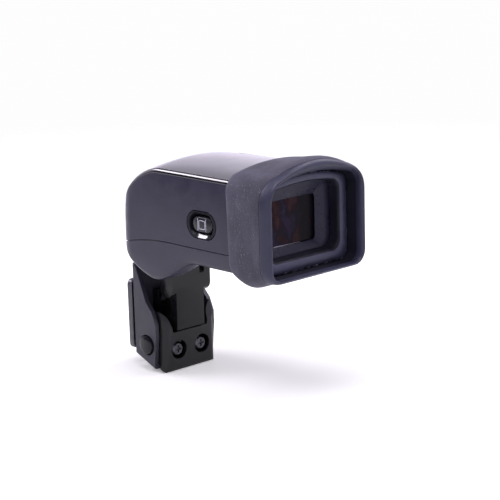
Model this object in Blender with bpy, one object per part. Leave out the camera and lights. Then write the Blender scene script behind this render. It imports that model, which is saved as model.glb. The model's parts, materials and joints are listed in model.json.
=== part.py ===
# Clip-on electronic viewfinder: a tilting eyepiece head on a base with an accessory-shoe foot.
# The head is modelled tilted square to its base, so the base stands upright and the eyepiece
# looks along -Y. The origin is the centre of the shoe foot's underside, which faces +Y.
# The camera's lens end of the base points up, along +Z. Both buttons are on the -X side.
import math

import bmesh
import bpy
from mathutils import Vector

MM = 0.001

# Layout: the optical axis runs along Y at this height, this far in front of the foot
RIM_TO_FOOT = 66.2 * MM
AXIS_HEIGHT = 32.7 * MM
CLEAR = 0.25 * MM
OVERRUN = 4.0 * MM

# Optics: a lens sets the carriage, the guide round it and so the head around them
LENS_RADIUS = 7.9 * MM
LENS_EDGE = 1.4 * MM
LENS_SAG = 1.0 * MM
LENS_POLE = 0.07 * MM
CARRIAGE_WALL = 0.75 * MM
CARRIAGE_WIDTH = 2 * (LENS_RADIUS + CLEAR + CARRIAGE_WALL)
CARRIAGE_LENGTH = 12.0 * MM
CARRIAGE_START = 15.4 * MM
CARRIAGE_CORNER = 3.0 * MM
GUIDE_WALL = 0.8 * MM
GUIDE_START = 13.2 * MM
GUIDE_LENGTH = 16.1 * MM
GUIDE_HALF = CARRIAGE_WIDTH / 2 + CLEAR + GUIDE_WALL

# Head: distances along it start at the eyecup's rim, heights start at the optical axis
SHELL_WALL = 1.6 * MM
SIDE_SPACE = 6.35 * MM
ROOF_SPACE = 1.95 * MM
FLOOR_SPACE = 0.55 * MM
HEAD_LENGTH = 60.8 * MM
HEAD_WIDTH = 2 * (GUIDE_HALF + SIDE_SPACE)
HEAD_TAPER = 0.5 * MM
RIDGE_HEIGHT = GUIDE_HALF + ROOF_SPACE
CROWN = 2.05 * MM
CROWN_FALL_START = 32.0 * MM
CROWN_FALL_SHARE = 0.95
FRONT_START = 44.0 * MM
FRONT_MIDDLE = 5.0 * MM
UNDERSIDE_DEPTH = GUIDE_HALF + FLOOR_SPACE + SHELL_WALL
BELLY_START = 30.0 * MM
BELLY_LOW = 46.8 * MM
BELLY_DEPTH = 18.7 * MM
CHIN_DEPTH = 9.5 * MM
CHIN_POWER = 1.5
SEAM_DEPTH = 7.4 * MM
SEAM_DIP = 2.9 * MM
SEAM_DIP_START = 40.0 * MM
PANEL_THICKNESS = 1.0 * MM
PANEL_END_TURN = math.radians(80)
PLAN_CORNER = 5.0 * MM
RIDGE_RADIUS = 0.6 * MM
KEEL_RADIUS = 1.5 * MM
SHELL_START = 8.3 * MM
SIDE_LEAN_SHARE = 0.03
SIDE_HEIGHT_SHARES = (0.35, 0.7)
SIDE_REACH_SHARES = (0.0, 0.4)

# Eyecup
CUP_OVERHANG = 1.7 * MM
CUP_STEP = 3.3 * MM
SIDE_WALL = 2.2 * MM
TOP_WALL = 3.9 * MM
BOTTOM_WALL = 1.0 * MM
CUP_WIDTH = HEAD_WIDTH + 2 * CUP_OVERHANG
CUP_TOP = RIDGE_HEIGHT + CROWN + CUP_STEP
CUP_BOTTOM = UNDERSIDE_DEPTH + BOTTOM_WALL
CUP_DEPTH = 14.7 * MM
CUP_LEAN = 0.9 * MM
CUP_FLARE = 0.3 * MM
CUP_RISE = 1.85 * MM
CUP_SAG = 1.8 * MM
CUP_BACK_ARCH = 1.5 * MM
CUP_ARCH_GAIN = 1.15 * MM
CUP_BACK_CORNER = 4.8 * MM
CUP_CORNER_GAIN = 2.6 * MM
CUP_LOW_CORNER = 4.5 * MM
LIP_RADIUS = 3.7 * MM
LIP_INNER = 2.0 * MM
LIP_OUTER_SHARE = 0.6
WELL_DEPTH = 5.9 * MM
RING_INSET = 4.4 * MM
RING_DROP = 1.7 * MM
RING_LIFT = 4.0 * MM
RING_WIDTH = HEAD_WIDTH - 2 * RING_INSET
RING_TOP = RIDGE_HEIGHT - RING_DROP
RING_BOTTOM = UNDERSIDE_DEPTH - RING_LIFT
RING_RISE = 1.2 * MM
BEAD_CORNER = 2.7 * MM
BEAD_ARCH = 0.75 * MM
BEAD_SHARES = ((0.9, 0.4), (0.75, 0.85), (0.55, 1), (0.3, 0.8), (0.12, 0.1))
FLANGE_DEPTH = 7.9 * MM
NECK_INSET = 1.0 * MM

# Eyepiece
FUNNEL_SIDE = 3.9 * MM
FUNNEL_HEIGHT = 3.1 * MM
WINDOW_WIDTH = RING_WIDTH - 2 * FUNNEL_SIDE
WINDOW_HEIGHT = RING_TOP + RING_BOTTOM - 2 * FUNNEL_HEIGHT
WINDOW_DEPTH = 9.4 * MM
WINDOW_THICKNESS = 1.2 * MM
WINDOW_LAP = 0.6 * MM
WINDOW_CORNER = 1.0 * MM
FRAME_LAP = 0.8 * MM
FRAME_CORNER = 4.0 * MM
FRAME_END = 12.6 * MM

# Display and electronics
DISPLAY_WIDTH = 11.0 * MM
DISPLAY_HEIGHT = 8.4 * MM
DISPLAY_THICKNESS = 1.3 * MM
DISPLAY_START = 35.3 * MM
DISPLAY_LIP = 0.6 * MM
BACKLIGHT_THICKNESS = 1.5 * MM
DISPLAY_SIDE_SPACE = 5.3 * MM
DISPLAY_FRAME_WIDTH = HEAD_WIDTH - 2 * DISPLAY_SIDE_SPACE
DISPLAY_FRAME_TOP = 8.4 * MM
DISPLAY_FRAME_BOTTOM = 6.0 * MM
BOARD_THICKNESS = 1.0 * MM
BOARD_START = 44.0 * MM
BOARD_SIDE_SPACE = 4.8 * MM
BOARD_WIDTH = HEAD_WIDTH - 2 * BOARD_SIDE_SPACE
BOARD_TOP = 7.0 * MM
FLEX_THICKNESS = 0.3 * MM
FLEX_WIDTH = 7.0 * MM

# Display button on the head's -X side
BUTTON_ALONG = 26.6 * MM
BUTTON_DROP = 0.85 * MM
BEZEL_LENGTH = 10.9 * MM
BEZEL_HEIGHT = 7.0 * MM
BEZEL_DEPTH = 1.9 * MM
BUTTON_LENGTH = 8.0 * MM
BUTTON_HEIGHT = 4.4 * MM
BUTTON_DOME = 0.35 * MM
BUTTON_LIP = 0.5 * MM
BUTTON_TRAVEL = 0.4 * MM
SWITCH_SIZE = 3.6 * MM
SWITCH_DEPTH = 0.9 * MM

# Dioptre dial on the head's +X side
DIAL_ALONG = 22.6 * MM
DIAL_RADIUS = 4.3 * MM
DIAL_THICKNESS = 1.8 * MM
DIAL_PROUD = 0.6 * MM
DIAL_RIBS = 18
DIAL_RIB_DEPTH = 0.25 * MM
DIAL_SHAFT_RADIUS = 1.9 * MM
DIAL_BOSS_WALL = 1.4 * MM
CRANK_THROW = 1.2 * MM
CRANK_RADIUS = 0.6 * MM

# Tilt hinge, near the front end of the head's belly
PIVOT_ALONG = 50.0 * MM
PIVOT_DEPTH = 12.75 * MM
SLOT_START = 33.5 * MM
HINGE_CLEAR = 0.45 * MM
LEAF_LEFT = 6.6 * MM
LEAF_RIGHT = 3.5 * MM
LEAF_GAP = 1.7 * MM
OUTER_LEAF = 2.2 * MM
SLOT_SIDE = 0.9 * MM
SLOT_WIDTH = 2 * (LEAF_RIGHT + LEAF_GAP + OUTER_LEAF + SLOT_SIDE)
LEAF_BACK = 0.1 * MM
LEAF_THICKNESS = 3.0 * MM
EYE_RADIUS = 3.4 * MM
WASHER_RADIUS = 2.7 * MM
PIN_RADIUS = 1.4 * MM
PIN_INSET = 3.1 * MM
PIN_LENGTH = HEAD_WIDTH - 2 * PIN_INSET
KNUCKLE_RADIUS = 2.7 * MM
KNUCKLE_DROP = 11.0 * MM
NECK_WIDTH = 10.0 * MM
NECK_THICKNESS = 2.2 * MM
NECK_BACK = 0.2 * MM
SHELF_THICKNESS = 2.0 * MM

# Base
BASE_WIDTH = 21.8 * MM
BASE_TIP = 15.65 * MM
TIP_THICKNESS = 1.15 * MM
BASE_BACK = 15.5 * MM
BASE_BOTTOM = 15.05 * MM
BASE_HEEL = 10.45 * MM
FOOT_DROP = 4.45 * MM
BASE_WALL = 1.3 * MM
EDGE_ROUND = 1.2 * MM
SLANT_TOP = (9.7 * MM, 7.85 * MM)
SLANT_MIDDLE = (14.1 * MM, 2.75 * MM)
BACK_TOP = 2.15 * MM
CHEEK_STEP = 1.5 * MM

# Rear cover between the cheeks
COVER_WALL = 1.2 * MM
COVER_EDGE = 0.9 * MM
COVER_TOP = 4.2 * MM
NOTCH_BOTTOM = 3.5 * MM
NOTCH_FOOT = 5.3 * MM
NOTCH_FLARE = 8.25 * MM
NOTCH_SHARES = ((0, 0), (0.09, 0.04), (0.14, 0.2), (0.18, 0.38), (0.37, 0.72), (0.5, 0.9), (1, 1))
COVER_SINK_RADIUS = 2.7 * MM
COVER_SCREW_SPREAD = 4.2 * MM
COVER_SCREW_DROP = 8.65 * MM
SCREW_HEAD_RADIUS = 1.9 * MM
SCREW_HEAD_DEPTH = 0.9 * MM
SCREW_RADIUS = 0.8 * MM
SCREW_SINK = 0.5 * MM
SCREW_GRIP = 4.0 * MM

# Head screws
HEAD_SCREW_INSET = 2.9 * MM
HEAD_SCREW_SPREAD = HEAD_WIDTH / 2 - HEAD_SCREW_INSET
HEAD_SCREW_PLACES = (19.0 * MM, 38.0 * MM)
HEAD_SCREW_HEAD = 1.4 * MM
BOSS_RADIUS = 1.6 * MM
BOSS_TOP = 3.0 * MM
BOSS_HEIGHT = 1.9 * MM

# Shoe foot
FOOT_WIDTH = 18.6 * MM
FOOT_LENGTH = 19.9 * MM
FOOT_THICKNESS = 1.8 * MM
FOOT_CORNER = 1.4 * MM
FOOT_NECK_WIDTH = 12.4 * MM
FOOT_NECK_LENGTH = 18.4 * MM
FOOT_SCREW_SPREAD = 3.2 * MM
FOOT_SCREW_PLACES = (4.6 * MM, -3.0 * MM)
FOOT_SCREW_HEAD = 1.3 * MM
CARRIER_WIDTH = 10.0 * MM
CARRIER_LENGTH = 3.0 * MM
CARRIER_TOP = 3.6 * MM
CARRIER_BASE = 0.7 * MM
CONTACTS = 9
CONTACT_PITCH = 0.95 * MM
CONTACT_WIDTH = 0.45 * MM

# Release button and shoe lock
RELEASE_BACK = 9.6 * MM
RELEASE_DROP = 7.05 * MM
RELEASE_RADIUS = 2.65 * MM
RELEASE_PROUD = 0.9 * MM
RELEASE_TRAVEL = 1.0 * MM
RELEASE_LIP = 0.7 * MM
BAR_WIDTH = 1.3 * MM
PLATE_Y = -8.2 * MM
PLATE_THICKNESS = 0.8 * MM
PLATE_HALF = 1.75 * MM
LOCK_DROP = 6.6 * MM
LOCK_STEP = 0.2 * MM
LOCK_PIN_RADIUS = 0.9 * MM
LOCK_PIN_PROUD = 0.8 * MM
COLLAR_RADIUS = 1.7 * MM
COLLAR_THICKNESS = 0.8 * MM
SPRING_WIRE = 0.15 * MM
SPRING_CURLS = 4

RIM_Y = -RIM_TO_FOOT
PIVOT_Y = RIM_Y + PIVOT_ALONG
PIVOT_Z = AXIS_HEIGHT - PIVOT_DEPTH


def clear_scene():
    for found in list(bpy.data.objects):
        bpy.data.objects.remove(found)


def material(name, colour, roughness, metallic=0.0):
    made = bpy.data.materials.new(name)
    made.use_nodes = True
    shader = made.node_tree.nodes["Principled BSDF"]
    shader.inputs["Base Color"].default_value = (*colour, 1.0)
    shader.inputs["Roughness"].default_value = roughness
    shader.inputs["Metallic"].default_value = metallic
    made.diffuse_color = (*colour, 1.0)
    return made


def keep(name, mesh_maker, finish=None):
    """Turns a bmesh into a named object with its own material, or into a hidden helper."""
    bmesh.ops.recalc_face_normals(mesh_maker, faces=mesh_maker.faces)
    mesh = bpy.data.meshes.new(name)
    mesh_maker.to_mesh(mesh)
    mesh_maker.free()
    made = bpy.data.objects.new(name, mesh)
    bpy.context.collection.objects.link(made)
    if finish:
        mesh.materials.append(material(name, *finish))
        mesh.shade_smooth()
        mesh.set_sharp_from_angle(angle=math.radians(35))
    else:
        made.hide_render = True
        made.display_type = "WIRE"
    return made


def swap(axis, flat, along):
    """A point given by two coordinates across an axis and one along it."""
    first, second = flat
    return {"X": (along, first, second), "Y": (first, along, second), "Z": (first, second, along)}[axis]


def loft(name, rings, finish=None, ring_shut=False):
    """Joins rings of equally many points. A shut loft runs back to its first ring, like a tyre."""
    maker = bmesh.new()
    rows = [[maker.verts.new(point) for point in ring] for ring in rings]
    pairs = list(zip(rows, rows[1:]))
    if ring_shut:
        pairs.append((rows[-1], rows[0]))
    for lower, upper in pairs:
        for index in range(len(lower)):
            following = (index + 1) % len(lower)
            maker.faces.new((lower[index], lower[following], upper[following], upper[index]))
    if not ring_shut:
        maker.faces.new(rows[0][::-1])
        maker.faces.new(rows[-1])
    return keep(name, maker, finish)


def prism(name, axis, outline, low, high, finish=None):
    return loft(name, [[swap(axis, point, along) for point in outline] for along in (low, high)], finish)


def box(name, low, high, finish=None):
    outline = [(low[1], low[2]), (high[1], low[2]), (high[1], high[2]), (low[1], high[2])]
    return prism(name, "X", outline, low[0], high[0], finish)


def circle(centre, radius, steps, turn=0.0):
    turns = [2 * math.pi * (index + turn) / steps for index in range(steps)]
    return [(centre[0] + radius * math.cos(a), centre[1] + radius * math.sin(a)) for a in turns]


def arc(centre, radius, start, end, steps):
    """Points on an arc between two angles in degrees, ends included."""
    turns = [math.radians(start + (end - start) * index / steps) for index in range(steps + 1)]
    return [(centre[0] + radius * math.cos(a), centre[1] + radius * math.sin(a)) for a in turns]


def obround(centre, length, height, steps):
    radius = height / 2
    reach = length / 2 - radius
    first = arc((centre[0] + reach, centre[1]), radius, -90, 90, steps)
    return first + arc((centre[0] - reach, centre[1]), radius, 90, 270, steps)


def rod(name, axis, centre, radius, low, high, finish=None, steps=20):
    return prism(name, axis, circle(centre, radius, steps, 0.5), low, high, finish)


def turned(name, axis, centre, profile, finish=None, steps=24):
    """A round piece from (radius, place along the axis) pairs, with its two ends closed flat."""
    rings = [[swap(axis, point, along) for point in circle(centre, radius, steps, 0.5)]
             for radius, along in profile]
    return loft(name, rings, finish)


def boolean(target, other, operation):
    step = target.modifiers.new(operation.lower() + "_" + other.name, "BOOLEAN")
    step.operation = operation
    step.object = other
    step.solver = "EXACT"
    return target


def cut(target, *others):
    for other in others:
        boolean(target, other, "DIFFERENCE")
    return target


def weld(target, *others):
    for other in others:
        boolean(target, other, "UNION")
    return target


def soften(target, width, segments=2, angle=40):
    step = target.modifiers.new("edges", "BEVEL")
    step.width = width
    step.segments = segments
    step.limit_method = "ANGLE"
    step.angle_limit = math.radians(angle)
    step.harden_normals = False
    return target


# Head surfaces


def half_width(along):
    """Half the head's width: a slight taper, and round front corners seen from above."""
    past = along - (HEAD_LENGTH - PLAN_CORNER)
    corner = PLAN_CORNER - math.sqrt(max(PLAN_CORNER ** 2 - max(past, 0) ** 2, 0))
    return HEAD_WIDTH / 2 - HEAD_TAPER * along / HEAD_LENGTH - corner


def ridge(along):
    """Height of the head's upper side edge: level, then a quarter of an ellipse down to the front."""
    past = max(along - FRONT_START, 0) / (HEAD_LENGTH - FRONT_START)
    return (RIDGE_HEIGHT + FRONT_MIDDLE) * math.sqrt(max(1 - past ** 2, 0)) - FRONT_MIDDLE


def crown(along):
    """How far the top arches above the ridges, flattening towards the front."""
    past = max(along - CROWN_FALL_START, 0) / (HEAD_LENGTH - CROWN_FALL_START)
    return CROWN * (1 - CROWN_FALL_SHARE * past ** 2)


def keel(along):
    """Depth of the head's underside below the axis: flat, then swelling into the hinge belly."""
    if along < BELLY_LOW:
        share = min(max((along - BELLY_START) / (BELLY_LOW - BELLY_START), 0), 1)
        return UNDERSIDE_DEPTH + (BELLY_DEPTH - UNDERSIDE_DEPTH) * (1 - math.cos(math.pi * share)) / 2
    share = min((along - BELLY_LOW) / (HEAD_LENGTH - BELLY_LOW), 1)
    swell = max(1 - share ** CHIN_POWER, 0) ** (1 / CHIN_POWER)
    return CHIN_DEPTH + (BELLY_DEPTH - CHIN_DEPTH) * swell


def seam(along):
    """Depth of the line where the upper and lower shells meet."""
    past = max(along - SEAM_DIP_START, 0) / (HEAD_LENGTH - SEAM_DIP_START)
    return SEAM_DEPTH + SEAM_DIP * past ** 2


def rim_half(width, radius):
    """How far the flat of the top reaches from the middle: the sides lean in and their corners are round."""
    return width * (1 - SIDE_LEAN_SHARE) - radius


def section(along, width, top, arch, depth, upper, lower, lean=0):
    """One ring across the head: flat bottom, rounded corners, leaning sides and an arched top."""
    upper = min(upper, (top + depth) / 3)
    lower = min(lower, (top + depth) / 3)
    low, high = lower - depth, top - upper
    half = [(0, -depth)] + arc((width - lower, low), lower, -90, 0, 3)
    for share, leaning in zip(SIDE_HEIGHT_SHARES, SIDE_REACH_SHARES):
        half.append((width * (1 - SIDE_LEAN_SHARE * leaning), low + (high - low) * share))
    rim = rim_half(width, upper)
    half += arc((rim, high), upper, 0, 90, 3)
    steps = 4
    half += [(rim * (1 - index / steps), top + arch * (1 - (1 - index / steps) ** 2))
             for index in range(1, steps + 1)]
    whole = half + [(-across, height) for across, height in half[-2:0:-1]]
    return [(across, RIM_Y + along + lean * (height + depth) / (top + depth), AXIS_HEIGHT + height)
            for across, height in whole]


def stations(start, end):
    """Places along the head: few where it is straight, close together round the front."""
    step = CUP_DEPTH + CLEAR
    places = [start, step - CLEAR / 2, step, step + 2 * CUP_LEAN, BELLY_START]
    belly_steps = 6
    belly = FRONT_START - BELLY_START
    places += [BELLY_START + belly * index / belly_steps for index in range(1, belly_steps)]
    front_steps = 10
    reach = end - FRONT_START
    places += [FRONT_START + reach * math.sin(math.pi / 2 * index / front_steps)
               for index in range(front_steps + 1)]
    return places


def neck(along):
    """The shells step in where the eyecup covers them."""
    return NECK_INSET if along < CUP_DEPTH + CLEAR else 0


def head_body(name, finish=None):
    rings = []
    for along in stations(SHELL_START, HEAD_LENGTH):
        inset = neck(along)
        lean = CUP_LEAN if SHELL_START < along <= CUP_DEPTH + CLEAR else 0
        rings.append(section(along, half_width(along) - inset, ridge(along) - inset, crown(along),
                             keel(along) - inset / 2, RIDGE_RADIUS, KEEL_RADIUS + inset, lean))
    return loft(name, rings, finish)


def head_cavity(name):
    """The space inside both shells. Over the belly its floor rises above their joint."""
    roof = PANEL_THICKNESS + CLEAR + SHELL_WALL / 2
    floor_back = UNDERSIDE_DEPTH - SHELL_WALL
    floor_front = SEAM_DEPTH - SHELL_WALL / 2
    end = HEAD_LENGTH - roof - SHELL_WALL / 2
    rings = []
    for along in stations(SHELL_START - OVERRUN, end):
        past = min(max((along - BELLY_START) / (2 * SHELL_WALL), 0), 1)
        depth = floor_back + (floor_front - floor_back) * past
        outer = along * HEAD_LENGTH / end
        width = half_width(outer) - neck(along) - SHELL_WALL
        drop = NECK_INSET + SHELL_WALL / 2 if neck(along) else roof
        rings.append(section(along, width, max(ridge(outer) - drop, -depth / 2), crown(outer), depth,
                             RIDGE_RADIUS, KEEL_RADIUS / 2))
    return loft(name, rings)


def half_space(name, below, shift):
    """Everything below or above the shells' joint, moved by a small gap."""
    reach = 2 * HEAD_LENGTH
    steps = 16
    line = [(RIM_Y + HEAD_LENGTH * index / steps, AXIS_HEIGHT - seam(HEAD_LENGTH * index / steps) + shift)
            for index in range(steps + 1)]
    line = [(RIM_Y - OVERRUN, line[0][1])] + line + [(RIM_Y + HEAD_LENGTH + OVERRUN, line[-1][1])]
    far = AXIS_HEIGHT - reach if below else AXIS_HEIGHT + reach
    outline = line + [(line[-1][0], far), (line[0][0], far)]
    return prism(name, "X", outline, -HEAD_WIDTH, HEAD_WIDTH)


def panel_solid(name, lift, depth, margin, finish=None):
    """A skin over the head's top and round its front, between two offsets from the surface."""
    start = CUP_DEPTH + CUP_LEAN + 2 * CLEAR - margin
    reach = HEAD_LENGTH - FRONT_START
    flat_steps, turn_steps, across_steps = 4, 12, 8
    end_turn = PANEL_END_TURN + margin / reach
    places = [start + (FRONT_START - start) * index / flat_steps for index in range(flat_steps)]
    places += [FRONT_START + reach * math.sin(end_turn * index / turn_steps)
               for index in range(turn_steps + 1)]
    nudge = CLEAR / 8
    step_share = 0.05

    def surface(along, share):
        rim = rim_half(half_width(along), RIDGE_RADIUS)
        across = share * (rim + margin)
        height = ridge(along) + crown(along) * (1 - (across / rim) ** 2)
        return Vector((across, RIM_Y + along, AXIS_HEIGHT + height))

    def facing(along, share):
        low = min(along, HEAD_LENGTH - 2 * nudge)
        forward = surface(low + nudge, share) - surface(low - nudge, share)
        sideways = surface(low, share + step_share) - surface(low, share - step_share)
        return sideways.cross(forward).normalized()

    rings = []
    for along in places:
        row = [2 * index / across_steps - 1 for index in range(across_steps + 1)]
        outer = [surface(along, share) + facing(along, share) * lift for share in row]
        inner = [surface(along, share) - facing(along, share) * depth for share in reversed(row)]
        rings.append(outer + inner)
    return loft(name, rings, finish)


# Finishes, as colour, roughness and how metallic the surface is
MATT_SHELL = ((0.035, 0.034, 0.042), 0.55)
GLOSS_PANEL = ((0.012, 0.012, 0.016), 0.12)
SOFT_RUBBER = ((0.045, 0.046, 0.055), 0.8)
BLACK_PLASTIC = ((0.012, 0.012, 0.013), 0.4)
DARK_PLASTIC = ((0.022, 0.022, 0.025), 0.5)
PAINTED_METAL = ((0.02, 0.02, 0.024), 0.38, 0.3)
STEEL = ((0.45, 0.45, 0.46), 0.3, 1.0)
GOLD = ((0.8, 0.55, 0.2), 0.25, 1.0)
GLASS = ((0.02, 0.012, 0.018), 0.05)
LENS = ((0.35, 0.35, 0.4), 0.05)
BOARD = ((0.01, 0.09, 0.04), 0.5)
FLEX = ((0.35, 0.16, 0.03), 0.4)
DISPLAY = ((0.01, 0.012, 0.02), 0.1)


# Eyecup and eyepiece


def cup_outline(along, width, top, arch, bottom, corner, low_corner=None, lean=0):
    """One ring across the eyecup or eyepiece, with rounded corners and an arched top edge."""
    low_corner = low_corner or corner
    half = width / 2
    right = arc((half - low_corner, low_corner - bottom), low_corner, -90, 0, 4)
    right += arc((half - corner, top - arch - corner), corner, 0, 75, 4)
    shoulder, height = right[-1]
    steps = 4
    right += [(shoulder * (1 - index / steps), height + (top - height) * (1 - (1 - index / steps) ** 2))
              for index in range(1, steps + 1)]
    whole = right + [(-across, level) for across, level in right[-2::-1]]
    return [(across, RIM_Y + along + lean * (level + bottom) / (top + bottom), AXIS_HEIGHT + level)
            for across, level in whole]


def cup_ring(along, inset, lean=0):
    """A ring of the eyecup's skin, or one inside it. Towards the rim it is rounder and more arched."""
    back = (along - LIP_RADIUS) / (CUP_DEPTH - LIP_RADIUS)
    inward = inset / SIDE_WALL
    bulge = CUP_SAG * math.sin(math.pi * min(max(back, 0), 1)) * (1 - inward)
    width = CUP_WIDTH - 2 * CUP_FLARE * back - 2 * inset
    top = CUP_TOP - CUP_RISE * back - TOP_WALL * inward
    arch = CUP_BACK_ARCH + CUP_ARCH_GAIN * (1 - back) * (1 - inward)
    bottom = CUP_BOTTOM + bulge - BOTTOM_WALL * inward
    corner = (CUP_BACK_CORNER + CUP_CORNER_GAIN * (1 - back)) * (1 - inward / 2)
    return cup_outline(along, width, top, arch, bottom, corner, CUP_LOW_CORNER * (1 - inward / 3), lean)


def bead_ring(along, share):
    """A ring of the raised bead, at a share of the way from the eyepiece's edge to the well's wall."""
    inner = cup_outline(along, RING_WIDTH, RING_TOP, BEAD_ARCH, RING_BOTTOM, BEAD_CORNER)
    outer = cup_ring(along, SIDE_WALL)
    return [tuple(near + (far - near) * share for near, far in zip(*pair)) for pair in zip(inner, outer)]


def eyecup():
    """The rubber hood: outer skin, rounded lip, well, raised bead, and a sleeve over the shells."""
    skin_steps = 5
    rings = [cup_ring(CUP_DEPTH, 0, CUP_LEAN)]
    rings += [cup_ring(CUP_DEPTH - (CUP_DEPTH - LIP_RADIUS) * index / skin_steps, 0)
              for index in range(1, skin_steps)]
    lip_inset = SIDE_WALL * LIP_OUTER_SHARE
    lip_steps = 6
    for index in range(lip_steps + 1):
        turn = math.pi / 2 * index / lip_steps
        rings.append(cup_ring(LIP_RADIUS * (1 - math.sin(turn)), lip_inset * (1 - math.cos(turn))))
    inner_steps = 3
    for index in range(1, inner_steps + 1):
        turn = math.pi / 2 * index / inner_steps
        inset = lip_inset + (SIDE_WALL - lip_inset) * math.sin(turn)
        rings.append(cup_ring(LIP_INNER * (1 - math.cos(turn)), inset))
    rings.append(cup_ring(WELL_DEPTH, SIDE_WALL))
    for across_share, rise_share in BEAD_SHARES:
        rings.append(bead_ring(WELL_DEPTH - RING_RISE * rise_share, across_share))
    rings.append(bead_ring(FLANGE_DEPTH, 0))
    rings.append(sleeve_ring(FLANGE_DEPTH, 0))
    rings.append(sleeve_ring(CUP_DEPTH, CUP_LEAN))
    return loft("eyecup", rings, SOFT_RUBBER, ring_shut=True)


def sleeve_ring(along, lean):
    """The eyecup's inside behind the eyepiece, a clearance away from the shells' neck."""
    width = 2 * (half_width(along) - NECK_INSET + CLEAR)
    top = RIDGE_HEIGHT + CROWN - NECK_INSET + CLEAR
    bottom = UNDERSIDE_DEPTH - NECK_INSET / 2 + CLEAR
    return cup_outline(along, width, top, CROWN, bottom, RIDGE_RADIUS + CLEAR, KEEL_RADIUS + NECK_INSET, lean)


def eyepiece_frame():
    """Holds the window, with a bevelled funnel in front of it and a rebate behind."""
    half = WINDOW_HEIGHT / 2
    front = FLANGE_DEPTH + CLEAR
    lap = WINDOW_LAP + CLEAR

    def opening(along, grow):
        tall = half + grow
        return cup_outline(along, WINDOW_WIDTH + 2 * grow, tall, 0, tall, WINDOW_CORNER + grow / 2)

    def outside(along):
        return cup_outline(along, RING_WIDTH + 2 * FRAME_LAP, RING_TOP + FRAME_LAP, BEAD_ARCH,
                           RING_BOTTOM + FRAME_LAP, FRAME_CORNER)

    seat = WINDOW_DEPTH + CLEAR
    rings = [outside(FRAME_END), outside(front),
             cup_outline(front, RING_WIDTH, RING_TOP, BEAD_ARCH, RING_BOTTOM, BEAD_CORNER),
             opening(WINDOW_DEPTH, 0), opening(seat, 0), opening(seat, lap), opening(FRAME_END, lap)]
    return loft("eyepiece_frame", rings, BLACK_PLASTIC, ring_shut=True)


def eyepiece_window():
    start = WINDOW_DEPTH + 2 * CLEAR
    half = WINDOW_HEIGHT / 2 + WINDOW_LAP
    rings = [cup_outline(along, WINDOW_WIDTH + 2 * WINDOW_LAP, half, 0, half, WINDOW_CORNER + WINDOW_LAP / 2)
             for along in (start, start + WINDOW_THICKNESS)]
    return loft("eyepiece_window", rings, GLASS)


# Head shells


def top_panel():
    return panel_solid("top_panel", 0, PANEL_THICKNESS, 0, GLOSS_PANEL)


def dial_centre():
    return (RIM_Y + DIAL_ALONG, AXIS_HEIGHT)


def button_centre():
    return (RIM_Y + BUTTON_ALONG, AXIS_HEIGHT - BUTTON_DROP)


def head_screw_places():
    return [(side * HEAD_SCREW_SPREAD, RIM_Y + along) for along in HEAD_SCREW_PLACES for side in (-1, 1)]


def upper_shell():
    shell = head_body("upper_shell", MATT_SHELL)
    cut(shell, half_space("below_joint", True, CLEAR / 2), head_cavity("cavity_above"),
        panel_solid("panel_recess", RIDGE_RADIUS, PANEL_THICKNESS + CLEAR, CLEAR))
    wall = half_width(DIAL_ALONG)
    seat = wall + DIAL_PROUD - DIAL_THICKNESS - CLEAR
    weld(shell, rod("dial_boss", "X", dial_centre(), DIAL_RADIUS + DIAL_BOSS_WALL, seat - DIAL_BOSS_WALL,
                    wall - SHELL_WALL / 2))
    for index, place in enumerate(head_screw_places()):
        post = rod(f"upper_post_{index}", "Z", place, BOSS_RADIUS, AXIS_HEIGHT - SEAM_DEPTH + CLEAR,
                   AXIS_HEIGHT - BOSS_TOP)
        weld(shell, post)
        hole = rod(f"upper_post_hole_{index}", "Z", place, SCREW_RADIUS + CLEAR, AXIS_HEIGHT - HEAD_LENGTH,
                   AXIS_HEIGHT - BOSS_TOP - 2 * CLEAR)
        cut(shell, hole)
    bezel = obround(button_centre(), BEZEL_LENGTH + 2 * CLEAR, BEZEL_HEIGHT + 2 * CLEAR, 8)
    cut(shell,
        prism("bezel_hole", "X", bezel, -HEAD_WIDTH, -wall / 2),
        rod("dial_recess", "X", dial_centre(), DIAL_RADIUS + CLEAR, seat, HEAD_WIDTH),
        rod("dial_bore", "X", dial_centre(), DIAL_SHAFT_RADIUS + CLEAR, wall / 2, HEAD_WIDTH))
    return shell


def hinge_slot():
    """The belly's slot for the hinge arm: round over the eye, flat where the arm folds in."""
    reach = EYE_RADIUS + HINGE_CLEAR
    roof = LEAF_BACK + HINGE_CLEAR
    outline = [(PIVOT_Y + across, PIVOT_Z + height) for across, height in arc((0, 0), reach, 0, 172, 10)]
    back = RIM_Y + SLOT_START
    deep = AXIS_HEIGHT - HEAD_LENGTH / 2
    outline += [(back, PIVOT_Z + roof), (back, deep), (PIVOT_Y + reach, deep)]
    return prism("hinge_slot", "X", outline, -SLOT_WIDTH / 2, SLOT_WIDTH / 2)


def lower_shell():
    shell = head_body("lower_shell", MATT_SHELL)
    cut(shell, half_space("above_joint", False, -CLEAR / 2), head_cavity("cavity_below"), hinge_slot(),
        rod("pin_bore", "X", (PIVOT_Y, PIVOT_Z), PIN_RADIUS + CLEAR, -PIN_LENGTH / 2 - CLEAR,
            PIN_LENGTH / 2 + CLEAR))
    for index, place in enumerate(head_screw_places()):
        seat = AXIS_HEIGHT - UNDERSIDE_DEPTH + SCREW_HEAD_DEPTH + CLEAR
        low = AXIS_HEIGHT - HEAD_LENGTH
        cut(shell, rod(f"lower_hole_{index}", "Z", place, SCREW_RADIUS + CLEAR, low, AXIS_HEIGHT),
            rod(f"lower_sink_{index}", "Z", place, HEAD_SCREW_HEAD + CLEAR, low, seat))
    return shell


# Optics and display


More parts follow.
